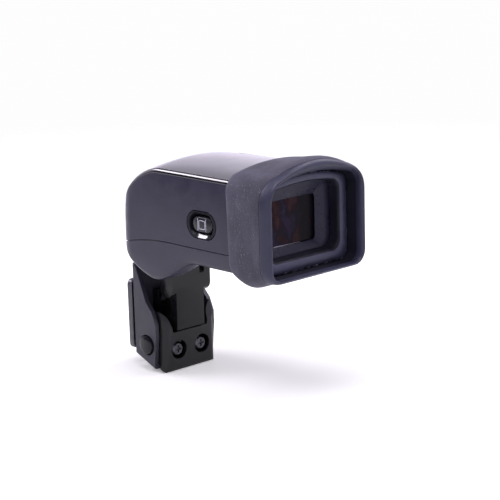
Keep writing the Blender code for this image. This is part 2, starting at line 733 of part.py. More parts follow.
def square_tube(name, half, wall, corner, start, end, finish):
    def ring(size, radius, along):
        return cup_outline(along, 2 * size, size, 0, size, radius)
    rings = [ring(half, corner, start), ring(half, corner, end), ring(half - wall, corner - wall / 2, end),
             ring(half - wall, corner - wall / 2, start)]
    return loft(name, rings, finish, ring_shut=True)


def lens_guide():
    guide = square_tube("lens_guide", GUIDE_HALF, GUIDE_WALL, CARRIAGE_CORNER + GUIDE_WALL, GUIDE_START,
                        GUIDE_START + GUIDE_LENGTH, DARK_PLASTIC)
    reach = CRANK_THROW + CRANK_RADIUS + 2 * CLEAR
    y, z = dial_centre()
    return cut(guide, box("crank_window", (GUIDE_HALF / 2, y - reach, z - reach),
                          (2 * GUIDE_HALF, y + reach, z + reach)))


def lens_carriage():
    """The square tube that carries the lenses and slides to focus, slotted for the dial's crank."""
    half = CARRIAGE_WIDTH / 2
    end = CARRIAGE_START + CARRIAGE_LENGTH
    outline = [(x, z) for x, y, z in cup_outline(0, CARRIAGE_WIDTH, half, 0, half, CARRIAGE_CORNER)]
    carriage = prism("lens_carriage", "Y", outline, RIM_Y + CARRIAGE_START, RIM_Y + end, BLACK_PLASTIC)
    slot = CRANK_RADIUS + CLEAR
    tall = CRANK_THROW + slot
    y, z = dial_centre()
    return cut(carriage,
               rod("carriage_bore", "Y", (0, AXIS_HEIGHT), LENS_RADIUS + CLEAR, RIM_Y, RIM_Y + HEAD_LENGTH,
                   steps=24),
               box("crank_slot", (half / 2, y - slot, z - tall), (2 * half, y + slot, z + tall)))


def lens(name, start, front_sag, back_sag):
    """A lens with a flat rim and a dome or a hollow on each side."""
    steps = 4
    end = start + LENS_EDGE
    front = [(max(LENS_RADIUS * index / steps, LENS_POLE), start - front_sag * (1 - (index / steps) ** 2))
             for index in range(steps + 1)]
    back = [(max(LENS_RADIUS * index / steps, LENS_POLE), end + back_sag * (1 - (index / steps) ** 2))
            for index in range(steps, -1, -1)]
    profile = [(radius, RIM_Y + along) for radius, along in front + back]
    return turned(name, "Y", (0, AXIS_HEIGHT), profile, LENS, 20)


def lenses():
    front = CARRIAGE_START + LENS_SAG
    back = CARRIAGE_START + CARRIAGE_LENGTH - LENS_EDGE - LENS_SAG
    lens("lens_front", front, LENS_SAG / 2, LENS_SAG)
    lens("lens_back", back, LENS_SAG, LENS_SAG / 2)


def slab(name, half, low, high, start, thickness, finish=None):
    """A plate across the head, between two heights about the optical axis."""
    return box(name, (-half, RIM_Y + start, AXIS_HEIGHT + low),
               (half, RIM_Y + start + thickness, AXIS_HEIGHT + high), finish)


def display_parts():
    half, tall = DISPLAY_WIDTH / 2, DISPLAY_HEIGHT / 2
    stack = DISPLAY_THICKNESS + CLEAR + BACKLIGHT_THICKNESS
    start = DISPLAY_START - CLEAR - DISPLAY_LIP
    holder = slab("display_frame", DISPLAY_FRAME_WIDTH / 2, -DISPLAY_FRAME_BOTTOM, DISPLAY_FRAME_TOP, start,
                  DISPLAY_LIP + 2 * CLEAR + stack, DARK_PLASTIC)
    view_share = 0.88
    cut(holder,
        slab("display_view", half * view_share, -tall * view_share, tall * view_share, 0, HEAD_LENGTH),
        slab("display_pocket", half + CLEAR, -tall - CLEAR, tall + CLEAR, DISPLAY_START - CLEAR, HEAD_LENGTH))
    slab("display_panel", half, -tall, tall, DISPLAY_START, DISPLAY_THICKNESS, DISPLAY)
    slab("backlight", half, -tall, tall, DISPLAY_START + DISPLAY_THICKNESS + CLEAR, BACKLIGHT_THICKNESS,
         DARK_PLASTIC)
    slab("main_board", BOARD_WIDTH / 2, -DISPLAY_FRAME_BOTTOM, BOARD_TOP, BOARD_START, BOARD_THICKNESS, BOARD)
    flex_start = DISPLAY_START + stack + 2 * CLEAR
    slab("flex_cable", FLEX_WIDTH / 2, -FLEX_THICKNESS / 2, FLEX_THICKNESS / 2, flex_start,
         BOARD_START - CLEAR - flex_start, FLEX)


# Controls on the head


def button_surround():
    """The bezel in the head's side, with a chamfer falling to the button."""
    outer = -half_width(BUTTON_ALONG)
    inner = outer + BEZEL_DEPTH
    chamfer = BEZEL_DEPTH / 3
    centre = button_centre()

    def ring(length, height, x):
        return [(x, y, z) for y, z in obround(centre, length, height, 8)]

    mouth = (BUTTON_LENGTH + 2 * CLEAR, BUTTON_HEIGHT + 2 * CLEAR)
    lead_share = 0.6
    lead = (BEZEL_HEIGHT - mouth[1]) * lead_share
    rings = [ring(BEZEL_LENGTH, BEZEL_HEIGHT, inner), ring(BEZEL_LENGTH, BEZEL_HEIGHT, outer),
             ring(mouth[0] + lead, mouth[1] + lead, outer), ring(*mouth, outer + chamfer),
             ring(*mouth, inner)]
    return loft("button_surround", rings, GLOSS_PANEL, ring_shut=True)


def display_button():
    """A long cap, slightly domed, with a lip behind the bezel that keeps it in."""
    outer = -half_width(BUTTON_ALONG)
    inner = outer + BEZEL_DEPTH + BUTTON_TRAVEL
    centre = button_centre()

    def ring(grow, x):
        return [(x, y, z) for y, z in obround(centre, BUTTON_LENGTH + 2 * grow, BUTTON_HEIGHT + 2 * grow, 8)]

    top = outer + CLEAR
    rings = [ring(-4 * BUTTON_DOME, top), ring(-2 * BUTTON_DOME, top + BUTTON_DOME / 4),
             ring(-BUTTON_DOME, top + BUTTON_DOME / 2), ring(0, top + 2 * BUTTON_DOME), ring(0, inner),
             ring(BUTTON_LIP, inner), ring(BUTTON_LIP, inner + BUTTON_LIP)]
    loft("display_button", rings, BLACK_PLASTIC)
    start = inner + BUTTON_LIP + BUTTON_TRAVEL + CLEAR
    y, z = centre
    half = SWITCH_SIZE / 2
    box("button_switch", (start, y - half, z - half), (start + SWITCH_DEPTH, y + half, z + half), STEEL)


def dioptre_dial():
    """A ribbed disc with a shaft through the shell and an off-centre crank pin at its end."""
    outer = half_width(DIAL_ALONG) + DIAL_PROUD
    inner = outer - DIAL_THICKNESS
    y, z = dial_centre()
    ribs = []
    for index in range(2 * DIAL_RIBS):
        turn = math.pi * index / DIAL_RIBS
        radius = DIAL_RADIUS - DIAL_RIB_DEPTH * (index % 2)
        ribs.append((y + radius * math.cos(turn), z + radius * math.sin(turn)))
    dial = prism("dioptre_dial", "X", ribs, inner, outer, BLACK_PLASTIC)
    tip = CARRIAGE_WIDTH / 2 - GUIDE_WALL / 2
    shaft_end = CARRIAGE_WIDTH / 2 + 2 * CLEAR + GUIDE_WALL
    weld(dial, rod("dial_shaft", "X", (y, z), DIAL_SHAFT_RADIUS, shaft_end, inner + DIAL_THICKNESS / 2),
         rod("dial_crank", "X", (y, z + CRANK_THROW), CRANK_RADIUS, tip, inner, steps=12))
    mark = DIAL_RIB_DEPTH
    return cut(dial, box("dial_mark", (outer - mark, y - mark, z + DIAL_RADIUS / 3),
                         (outer + mark, y + mark, z + 2 * DIAL_RADIUS)))


# Tilt hinge


def arm_outline():
    """The arm from the side: an eye over the pivot, a leaf hanging from it and a round knuckle."""
    near = LEAF_THICKNESS - LEAF_BACK
    turn_right = math.degrees(math.asin(near / EYE_RADIUS)) - 90
    turn_left = 270 - math.degrees(math.asin(LEAF_BACK / EYE_RADIUS))
    eye = arc((0, 0), EYE_RADIUS, turn_right, turn_left, 16)
    low = (KNUCKLE_RADIUS - LEAF_BACK, -KNUCKLE_DROP)
    top_turn = 360 + math.degrees(math.acos((near - low[0]) / KNUCKLE_RADIUS))
    knuckle = arc(low, KNUCKLE_RADIUS, 180, top_turn, 14)
    return [(PIVOT_Y + across, PIVOT_Z + height) for across, height in eye + knuckle]


def hinge_arm():
    """A forked leaf on the pin, a knuckle, and a narrow neck that hooks in behind the cover."""
    right = LEAF_RIGHT + LEAF_GAP + OUTER_LEAF
    arm = prism("hinge_arm", "X", arm_outline(), -LEAF_LEFT, right, PAINTED_METAL)
    neck_y = PIVOT_Y + NECK_BACK
    shelf = -NOTCH_BOTTOM + 2 * CLEAR
    root_y = FLOOR_Y - CLEAR - NECK_THICKNESS
    half = NECK_WIDTH / 2
    knuckle_z = PIVOT_Z - KNUCKLE_DROP
    root_top = FOOT_SCREW_PLACES[0] + 2 * FOOT_SCREW_HEAD
    weld(arm,
         box("arm_neck", (-half, neck_y, shelf), (half, neck_y + NECK_THICKNESS, knuckle_z)),
         box("arm_shelf", (-half + CLEAR, neck_y + CLEAR, shelf + CLEAR),
             (half - CLEAR, root_y + NECK_THICKNESS / 2, shelf + SHELF_THICKNESS)),
         box("arm_root", (-half, root_y, shelf + 2 * CLEAR), (half, FLOOR_Y - CLEAR, root_top)))
    cut(arm,
        box("leaf_gap", (LEAF_RIGHT, PIVOT_Y - HEAD_WIDTH, knuckle_z + KNUCKLE_RADIUS + CLEAR),
            (LEAF_RIGHT + LEAF_GAP, PIVOT_Y + HEAD_WIDTH, AXIS_HEIGHT)),
        rod("eye_bore", "X", (PIVOT_Y, PIVOT_Z), PIN_RADIUS + CLEAR, -HEAD_WIDTH, HEAD_WIDTH))
    for index, side in enumerate((-1, 1)):
        cut(arm, rod(f"root_hole_{index}", "Y", (side * FOOT_SCREW_SPREAD, FOOT_SCREW_PLACES[0]),
                     SCREW_RADIUS + CLEAR, root_y - CLEAR, 0))
    return arm


def hinge_pin_parts():
    rod("hinge_pin", "X", (PIVOT_Y, PIVOT_Z), PIN_RADIUS, -PIN_LENGTH / 2, PIN_LENGTH / 2, STEEL)
    middle = LEAF_RIGHT + LEAF_GAP / 2
    half = LEAF_GAP / 2 - CLEAR
    bore = PIN_RADIUS + CLEAR
    rings = [[(x, y, z) for y, z in circle((PIVOT_Y, PIVOT_Z), radius, 20, 0.5)]
             for radius, x in ((bore, middle - half), (WASHER_RADIUS, middle - half),
                               (WASHER_RADIUS, middle + half), (bore, middle + half))]
    loft("friction_washer", rings, STEEL, ring_shut=True)


# Base

FLOOR_Y = -FOOT_DROP - BASE_WALL


def shrunk(outline, insets):
    """An outline with each edge moved inwards by its own amount."""
    moved = []
    count = len(outline)
    for index in range(count):
        before, here, after = (Vector(outline[(index + step) % count]) for step in (-1, 0, 1))
        first, second = (here - before).normalized(), (after - here).normalized()
        first_in, second_in = Vector((-first.y, first.x)), Vector((-second.y, second.x))
        start = here + first_in * insets[index - 1]
        offset = here + second_in * insets[index]
        across = first.cross(second)
        along = (offset - start).cross(second) / across
        moved.append(tuple(start + first * along))
    return moved


def base_outline():
    """The base from the side, running anticlockwise, and how far each edge is rounded."""
    round_shares = (0.3, 0.8, 1.0, 0.8, 0.6, 0.3, 0.3)
    points = [(-FOOT_DROP - TIP_THICKNESS, BASE_TIP), (-SLANT_TOP[0], SLANT_TOP[1]),
              (-SLANT_MIDDLE[0], SLANT_MIDDLE[1]), (-BASE_BACK, -BACK_TOP),
              (CHEEK_STEP - BASE_BACK, heel_line(CHEEK_STEP - BASE_BACK, 0)),
              (-FOOT_DROP, -BASE_HEEL), (-FOOT_DROP, BASE_TIP)]
    return points, [BASE_WALL * share for share in round_shares]


def heel_line(y, lift):
    """Height of the base's slanting bottom wall at a place, raised by a thickness."""
    slope = (BASE_BOTTOM - BASE_HEEL) / (BASE_BACK - FOOT_DROP)
    return -BASE_HEEL + slope * (y + FOOT_DROP) + lift * math.sqrt(1 + slope ** 2)


def base_shell():
    """The floor, both cheeks and the slanting bottom wall, with rounded outer edges."""
    outline, rounds = base_outline()
    half = BASE_WIDTH / 2
    steps = 3
    left, right = [], []
    for index in range(steps + 1):
        turn = math.pi / 2 * index / steps
        flat = shrunk(outline, [size * (1 - math.sin(turn)) for size in rounds])
        x = half - EDGE_ROUND * (1 - math.cos(turn))
        left.append([(-x, y, z) for y, z in flat])
        right.append([(x, y, z) for y, z in flat])
    shell = loft("base_shell", left + right[::-1], PAINTED_METAL)
    release = (-RELEASE_BACK, -RELEASE_DROP)
    cut(shell, prism("base_cavity", "X", cavity_outline(BASE_TIP + OVERRUN), BASE_WALL - half,
                     half - BASE_WALL),
        rod("release_hole", "X", release, RELEASE_RADIUS + CLEAR, -BASE_WIDTH, 0, steps=24),
        rod("floor_lock_hole", "Y", LOCK_CENTRE, LOCK_PIN_RADIUS + CLEAR, -BASE_BACK, OVERRUN))
    for index, place in enumerate(foot_screw_places()):
        cut(shell, rod(f"floor_hole_{index}", "Y", place, SCREW_RADIUS + CLEAR, -BASE_BACK, OVERRUN))
    for index, place in enumerate(cover_screw_places()):
        weld(shell, rod(f"floor_boss_{index}", "Y", place, BOSS_RADIUS, FLOOR_Y - BOSS_HEIGHT,
                        FLOOR_Y + BASE_WALL / 2))
        cut(shell, rod(f"boss_hole_{index}", "Y", place, SCREW_RADIUS + CLEAR, -BASE_BACK, FLOOR_Y + CLEAR))
    return shell


def cavity_outline(top):
    """The space between the cheeks from the side."""
    far = -BASE_BACK - OVERRUN
    return [(FLOOR_Y, top), (far, top), (far, heel_line(far, BASE_WALL)), (FLOOR_Y, heel_line(FLOOR_Y, BASE_WALL))]


def foot_screw_places():
    return [(side * FOOT_SCREW_SPREAD, place) for place in FOOT_SCREW_PLACES for side in (-1, 1)]


def cover_screw_places():
    return [(side * COVER_SCREW_SPREAD, -COVER_SCREW_DROP) for side in (-1, 1)]


def notch_outline(drop, top):
    """The U-shaped valley in the cover, across X and Z, lowered by a wall thickness."""
    lean_share = 0.3
    rise = COVER_TOP + NOTCH_BOTTOM
    right = [(NOTCH_FOOT + NOTCH_FLARE * across + drop * lean_share, rise * up - NOTCH_BOTTOM - drop)
             for across, up in NOTCH_SHARES]
    right.append((BASE_WIDTH, top))
    return right + [(-x, z) for x, z in right[::-1]]


def cover_outline():
    """The cover from the side before its front is trimmed: it leans like the cheeks."""
    near = FLOOR_Y + COVER_EDGE
    lean = (SLANT_MIDDLE[0] - SLANT_TOP[0]) / (SLANT_TOP[1] - SLANT_MIDDLE[1])
    return [(near, COVER_TOP), (lean * (COVER_TOP - SLANT_MIDDLE[1]) - SLANT_MIDDLE[0], COVER_TOP),
            (-BASE_BACK, -BACK_TOP), (-BASE_BACK, heel_line(-BASE_BACK, CLEAR)),
            (near, heel_line(near, CLEAR))]


def bottom_wall_room():
    """The bottom wall's place and its clearance, from the side. The cover's foot stands behind it."""
    step, inner = CHEEK_STEP - BASE_BACK - 2 * CLEAR, BASE_WALL + CLEAR
    low = -BASE_BOTTOM - OVERRUN
    return [(step, heel_line(step, inner)), (0, heel_line(0, inner)), (0, low), (step, low)]


def rear_cover():
    """A cap between the cheeks, open to the floor, with a valley that the arm passes through."""
    half = BASE_WIDTH / 2 - BASE_WALL - CLEAR
    cover = prism("rear_cover", "X", cover_outline(), -half, half, MATT_SHELL)
    high = COVER_TOP + OVERRUN
    cut(cover, prism("notch", "Y", notch_outline(0, high), -BASE_BACK - OVERRUN, 0))
    soften(cover, COVER_EDGE, 2, 50)
    cut(cover, prism("bottom_wall_room", "X", bottom_wall_room(), -BASE_WIDTH, BASE_WIDTH),
        box("floor_room", (-BASE_WIDTH, FLOOR_Y - CLEAR, -BASE_WIDTH), (BASE_WIDTH, OVERRUN, BASE_WIDTH)))
    inner_half = half - COVER_WALL
    inner_low = heel_line(-RELEASE_BACK, BASE_WALL + CLEAR)
    valley = [(x, z) for x, z in notch_outline(COVER_WALL, high)[:len(NOTCH_SHARES)]
              if x < inner_half and z < 0]
    valley.append((inner_half, 0))
    pocket = [(-inner_half, inner_low), (inner_half, inner_low)] + valley[::-1] + [(-x, z) for x, z in valley]
    lip = RELEASE_RADIUS + RELEASE_LIP + 2 * CLEAR
    back = -BASE_BACK + COVER_WALL
    cut(cover, prism("cover_pocket", "Y", pocket, back, 0),
        box("cover_side_opening", (-BASE_WIDTH, -RELEASE_BACK - lip, -RELEASE_DROP - lip),
            (-inner_half + CLEAR, 0, -RELEASE_DROP + lip)))
    for index, place in enumerate(cover_screw_places()):
        weld(cover, rod(f"cover_boss_{index}", "Y", place, COVER_SINK_RADIUS + COVER_WALL / 4,
                        back - COVER_WALL / 2, back + SCREW_HEAD_DEPTH))
    for index, place in enumerate(cover_screw_places()):
        cut(cover, rod(f"cover_hole_{index}", "Y", place, SCREW_RADIUS + CLEAR, -BASE_BACK - OVERRUN, 0),
            rod(f"cover_sink_{index}", "Y", place, COVER_SINK_RADIUS, -BASE_BACK - OVERRUN,
                -BASE_BACK + SCREW_HEAD_DEPTH + SCREW_SINK, steps=24))
    return cover


# Foot


def rounded(half, low, high, radius, steps=3):
    corners = ((half - radius, low + radius, -90), (half - radius, high - radius, 0),
               (radius - half, high - radius, 90), (radius - half, low + radius, 180))
    outline = []
    for x, z, turn in corners:
        outline += arc((x, z), radius, turn, turn + 90, steps)
    return outline


def foot_plate():
    half = FOOT_LENGTH / 2
    outline = rounded(FOOT_WIDTH / 2, -half, half, FOOT_CORNER)
    plate = prism("foot_plate", "Y", outline, -FOOT_THICKNESS, 0, STEEL)
    soften(plate, CLEAR, 1, 60)
    for index, place in enumerate(foot_screw_places()):
        cut(plate, rod(f"foot_hole_{index}", "Y", place, SCREW_RADIUS + CLEAR, -BASE_BACK, OVERRUN),
            rod(f"foot_sink_{index}", "Y", place, FOOT_SCREW_HEAD + CLEAR, -SCREW_HEAD_DEPTH - 2 * CLEAR,
                OVERRUN))
    return cut(plate, carrier_pocket("plate_pocket"),
               rod("plate_lock_hole", "Y", LOCK_CENTRE, LOCK_PIN_RADIUS + CLEAR, -BASE_BACK, OVERRUN))


def carrier_pocket(name):
    half = CARRIER_WIDTH / 2 + CLEAR
    end = FOOT_LENGTH / 2
    return box(name, (-half, -CARRIER_TOP - CLEAR, end - CARRIER_LENGTH - CLEAR),
               (half, -CARRIER_BASE, end + OVERRUN))


def foot_neck():
    half = FOOT_NECK_LENGTH / 2
    block = prism("foot_neck", "Y", rounded(FOOT_NECK_WIDTH / 2, -half, half, FOOT_CORNER / 2),
                  -FOOT_DROP + CLEAR, -FOOT_THICKNESS - CLEAR, PAINTED_METAL)
    for index, place in enumerate(foot_screw_places()):
        cut(block, rod(f"neck_hole_{index}", "Y", place, SCREW_RADIUS + CLEAR, -BASE_BACK, OVERRUN))
    return cut(block, carrier_pocket("neck_pocket"),
               rod("neck_lock_hole", "Y", LOCK_CENTRE, LOCK_PIN_RADIUS + CLEAR, -BASE_BACK, OVERRUN))


def contacts():
    """A black carrier set in the foot's front end, and the comb of contacts in its slot."""
    half = CARRIER_WIDTH / 2
    end = FOOT_LENGTH / 2
    carrier = box("contact_carrier", (-half, -CARRIER_TOP, end - CARRIER_LENGTH),
                  (half, -CARRIER_BASE - CLEAR, end - CLEAR), BLACK_PLASTIC)
    comb_half = CONTACT_PITCH * (CONTACTS - 1) / 2 + CONTACT_WIDTH / 2
    middle = -(CARRIER_TOP + CARRIER_BASE) / 2
    thick = CONTACT_WIDTH / 2
    low = end - CARRIER_LENGTH + 2 * CLEAR
    cut(carrier, box("carrier_slot", (-comb_half - CLEAR, middle - thick - CLEAR, low - CLEAR),
                     (comb_half + CLEAR, middle + thick + CLEAR, end + OVERRUN)))
    comb = box("contact_comb", (-comb_half, middle - thick, low),
               (comb_half, middle + thick, end - 2 * CLEAR), GOLD)
    for index in range(CONTACTS - 1):
        x = -comb_half + CONTACT_WIDTH + CONTACT_PITCH * index
        cut(comb, box(f"comb_gap_{index}", (x, middle - OVERRUN, low + CONTACT_WIDTH),
                      (x + CONTACT_PITCH - CONTACT_WIDTH, middle + OVERRUN, end + OVERRUN)))


# Release and lock

LOCK_CENTRE = (0, -LOCK_DROP)


def release_button():
    """Cap, lip, push bar and a slotted plate with a ramp that lifts the lock pin."""
    face = -BASE_WIDTH / 2
    centre = (-RELEASE_BACK, -RELEASE_DROP)
    dome = RELEASE_PROUD / 2
    lip_start = -BASE_WIDTH / 2 + BASE_WALL + CLEAR
    lip_end = lip_start + RELEASE_LIP
    dome_shares = (0.1, 0.5, 0.8, 0.97)
    profile = [(RELEASE_RADIUS * share, face - RELEASE_PROUD + dome * (1 - math.sqrt(1 - share ** 2)))
               for share in dome_shares]
    profile += [(RELEASE_RADIUS, face), (RELEASE_RADIUS, lip_start),
                (RELEASE_RADIUS + RELEASE_LIP, lip_start), (RELEASE_RADIUS + RELEASE_LIP, lip_end)]
    button = turned("release_button", "X", centre, profile, BLACK_PLASTIC)
    half = PLATE_HALF
    deep = PLATE_Y - PLATE_THICKNESS
    y, z = LOCK_CENTRE[0], LOCK_CENTRE[1]
    left = -COLLAR_RADIUS - RELEASE_TRAVEL - LOCK_STEP
    right = COLLAR_RADIUS
    bar_half = BAR_WIDTH / 2
    ramp = [(-COLLAR_RADIUS, PLATE_Y - PLATE_THICKNESS / 2), (-COLLAR_RADIUS, deep),
            (-COLLAR_RADIUS - RELEASE_TRAVEL, deep - LOCK_PIN_PROUD), (left, deep - LOCK_PIN_PROUD),
            (left, PLATE_Y - PLATE_THICKNESS / 2)]
    bar_z = z + LOCK_STEP / 2
    weld(button,
         box("push_bar", (lip_end - RELEASE_LIP / 2, deep - PLATE_THICKNESS / 2, bar_z - bar_half),
             (left + LOCK_STEP, PLATE_Y - CLEAR / 2, bar_z + bar_half)),
         box("lock_plate", (left, deep, z - half), (right, PLATE_Y, z + half)),
         prism("lock_ramp", "Z", ramp, z - half + CLEAR / 10, z + half - CLEAR / 10))
    slot = LOCK_PIN_RADIUS + CLEAR
    return cut(button, box("plate_slot", (-slot - RELEASE_TRAVEL, deep - OVERRUN, z - slot),
                           (slot, PLATE_Y + OVERRUN, z + slot)))


def lock_pin():
    start = PLATE_Y - PLATE_THICKNESS - CLEAR
    nose = LOCK_PIN_RADIUS / 3
    profile = [(COLLAR_RADIUS, start - COLLAR_THICKNESS), (COLLAR_RADIUS, start), (LOCK_PIN_RADIUS, start),
               (LOCK_PIN_RADIUS, LOCK_PIN_PROUD - nose), (LOCK_PIN_RADIUS - nose, LOCK_PIN_PROUD)]
    turned("lock_pin", "Y", LOCK_CENTRE, profile, STEEL, 16)


def lock_spring():
    """A coil from the pin's collar to the cover, as one unbroken tube."""
    low = PLATE_Y - PLATE_THICKNESS - COLLAR_THICKNESS - 2 * CLEAR - SPRING_WIRE
    high = -BASE_BACK + COVER_WALL + CLEAR + SPRING_WIRE
    radius = COLLAR_RADIUS - 2 * SPRING_WIRE
    points_per_curl = 9
    count = SPRING_CURLS * points_per_curl
    pitch = (high - low) / (2 * math.pi * SPRING_CURLS)
    rings = []
    for index in range(count + 1):
        turn = 2 * math.pi * index / points_per_curl
        outward = Vector((math.cos(turn), 0, math.sin(turn)))
        tangent = Vector((-radius * math.sin(turn), pitch, radius * math.cos(turn))).normalized()
        centre = outward * radius + Vector((LOCK_CENTRE[0], low + pitch * turn, LOCK_CENTRE[1]))
        upward = tangent.cross(outward)
        rings.append([centre + outward * a + upward * b for a, b in circle((0, 0), SPRING_WIRE, 5)])
    loft("lock_spring", rings, STEEL)


# Screws


def screw(name, axis, centre, head_at, tip_at, head_radius):
    """A pan head with a cross recess, on a plain shank."""
    way = 1 if tip_at > head_at else -1
    edge = head_radius / 5
    neck_at = head_at + way * SCREW_HEAD_DEPTH
    profile = [(head_radius - edge, head_at), (head_radius, head_at + way * edge), (head_radius, neck_at),
               (SCREW_RADIUS, neck_at), (SCREW_RADIUS, tip_at)]
    made = turned(name, axis, centre, profile, STEEL, 12)
    reach_share, slim_share = 0.55, 0.14
    reach, slim = head_radius * reach_share, head_radius * slim_share
    deep = head_at + way * SCREW_HEAD_DEPTH / 2
    low, high = sorted((deep, head_at - way * OVERRUN))
    for index, (wide, tall) in enumerate(((reach, slim), (slim, reach))):
        corners = ((-1, -1), (1, -1), (1, 1), (-1, 1))
        outline = [(centre[0] + across * wide, centre[1] + up * tall) for across, up in corners]
        cut(made, prism(f"{name}_recess_{index}", axis, outline, low, high))
    return made


def screws():
    for index, place in enumerate(head_screw_places()):
        screw(f"head_screw_{index}", "Z", place, AXIS_HEIGHT - UNDERSIDE_DEPTH,
              AXIS_HEIGHT - BOSS_TOP - SCREW_GRIP / 2, HEAD_SCREW_HEAD)
    for index, place in enumerate(cover_screw_places()):
        screw(f"cover_screw_{index}", "Y", place, -BASE_BACK + SCREW_SINK, FLOOR_Y - CLEAR, SCREW_HEAD_RADIUS)
    for index, place in enumerate(foot_screw_places()):
        deep = FLOOR_Y - NECK_THICKNESS if place[1] > 0 else FLOOR_Y
        screw(f"foot_screw_{index}", "Y", place, -CLEAR, deep - CLEAR, FOOT_SCREW_HEAD)


def build():
    clear_scene()
    eyecup()
    eyepiece_frame()
    eyepiece_window()
    top_panel()
    upper_shell()
    lower_shell()
    lens_guide()
    lens_carriage()
    lenses()
    display_parts()
    button_surround()
    display_button()
    dioptre_dial()
    hinge_arm()
    hinge_pin_parts()
    base_shell()
    rear_cover()
    foot_plate()
    foot_neck()
    contacts()
    release_button()
    lock_pin()
    lock_spring()
    screws()


build()
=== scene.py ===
# Looks for the clip-on electronic viewfinder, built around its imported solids.
# Everything is in metres, in the part's own frame: the eyepiece looks along -Y, +Z is up, and both
# buttons are on the -X side. Visible shells are lofted again at a finer step than the solids.
import json
import math

import bmesh
import bpy
from mathutils import Matrix, Vector

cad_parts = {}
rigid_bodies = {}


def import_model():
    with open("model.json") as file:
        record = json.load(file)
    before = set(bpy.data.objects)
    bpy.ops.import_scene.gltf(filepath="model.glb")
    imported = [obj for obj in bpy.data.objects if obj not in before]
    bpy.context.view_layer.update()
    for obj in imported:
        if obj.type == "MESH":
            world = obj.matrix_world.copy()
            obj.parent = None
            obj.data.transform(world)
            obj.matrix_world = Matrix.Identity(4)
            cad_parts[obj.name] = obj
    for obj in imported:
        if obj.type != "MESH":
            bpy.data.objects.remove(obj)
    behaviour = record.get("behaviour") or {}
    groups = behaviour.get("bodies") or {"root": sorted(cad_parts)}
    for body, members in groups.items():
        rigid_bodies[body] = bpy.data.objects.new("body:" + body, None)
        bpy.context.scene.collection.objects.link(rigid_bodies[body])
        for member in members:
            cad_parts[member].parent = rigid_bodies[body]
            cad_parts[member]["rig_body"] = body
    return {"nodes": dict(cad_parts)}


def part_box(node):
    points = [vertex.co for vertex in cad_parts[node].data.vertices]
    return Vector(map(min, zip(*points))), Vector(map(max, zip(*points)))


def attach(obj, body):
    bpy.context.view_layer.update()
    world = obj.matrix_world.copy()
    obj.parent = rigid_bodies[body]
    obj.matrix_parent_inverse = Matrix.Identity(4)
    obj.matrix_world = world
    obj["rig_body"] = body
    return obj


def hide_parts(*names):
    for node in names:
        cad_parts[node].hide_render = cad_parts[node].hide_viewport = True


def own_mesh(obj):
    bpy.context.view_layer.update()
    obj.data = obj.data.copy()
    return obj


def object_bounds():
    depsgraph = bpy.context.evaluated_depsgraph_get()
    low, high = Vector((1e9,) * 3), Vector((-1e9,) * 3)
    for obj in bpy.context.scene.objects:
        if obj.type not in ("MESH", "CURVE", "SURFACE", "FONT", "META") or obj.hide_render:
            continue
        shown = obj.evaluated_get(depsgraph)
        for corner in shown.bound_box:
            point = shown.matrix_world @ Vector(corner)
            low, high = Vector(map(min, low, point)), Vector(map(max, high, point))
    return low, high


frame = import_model()
cad_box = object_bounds()
scene = bpy.context.scene

MM = 0.001
CLEAR = 0.25 * MM

# Photograph: the camera solved from it
IMAGE_SIZE = 500
FOCAL_PIXELS = 1666.7
SENSOR = 36.0
CAMERA_PLACE = (-294.3 * MM, -351.8 * MM, 121.95 * MM)
CAMERA_TURN = 43.4
CAMERA_DIP = 13.06
CAMERA_ROLL = 1.6
CLIP_NEAR = 10 * MM
CLIP_FAR = 20000 * MM

# The head, as in the solids
cup_low, cup_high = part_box("eyecup")
RIM_Y = cup_low.y
AXIS_HEIGHT = 32.7 * MM
HEAD_LENGTH = 60.8 * MM
HEAD_WIDTH = 32.6 * MM
HEAD_TAPER = 0.5 * MM
RIDGE_HEIGHT = 11.9 * MM
CROWN = 2.05 * MM
CROWN_FALL_START = 32 * MM
CROWN_FALL_SHARE = 0.95
FRONT_START = 44 * MM
FRONT_MIDDLE = 5 * MM
FRONT_POWER = 1.75
UNDERSIDE_DEPTH = 12.1 * MM
BELLY_START = 30 * MM
BELLY_LOW = 46.8 * MM
BELLY_DEPTH = 18.7 * MM
CHIN_DEPTH = 9.5 * MM
CHIN_POWER = 1.5
SEAM_DEPTH = 7.4 * MM
SEAM_DIP = 2.9 * MM
SEAM_DIP_START = 40 * MM
PANEL_THICKNESS = 1 * MM
PANEL_END_TURN = math.radians(80)
RIDGE_END_TURN = math.radians(50)
PLAN_CORNER = 5 * MM
RIDGE_RADIUS = 1 * MM
KEEL_RADIUS = 1.5 * MM
SHELL_START = 8.3 * MM
SHELL_WALL = 1.6 * MM
SIDE_LEAN_SHARE = 0.03
LOW_BOW_SHARE = 0.3
TONGUE_INSET = 0.3 * MM
TONGUE_BACK = 0.15 * MM
TONGUE_WIDTH = 1 * MM
TONGUE_HEIGHT = 0.5 * MM
NECK_INSET = 1 * MM
OVERRUN = 4 * MM

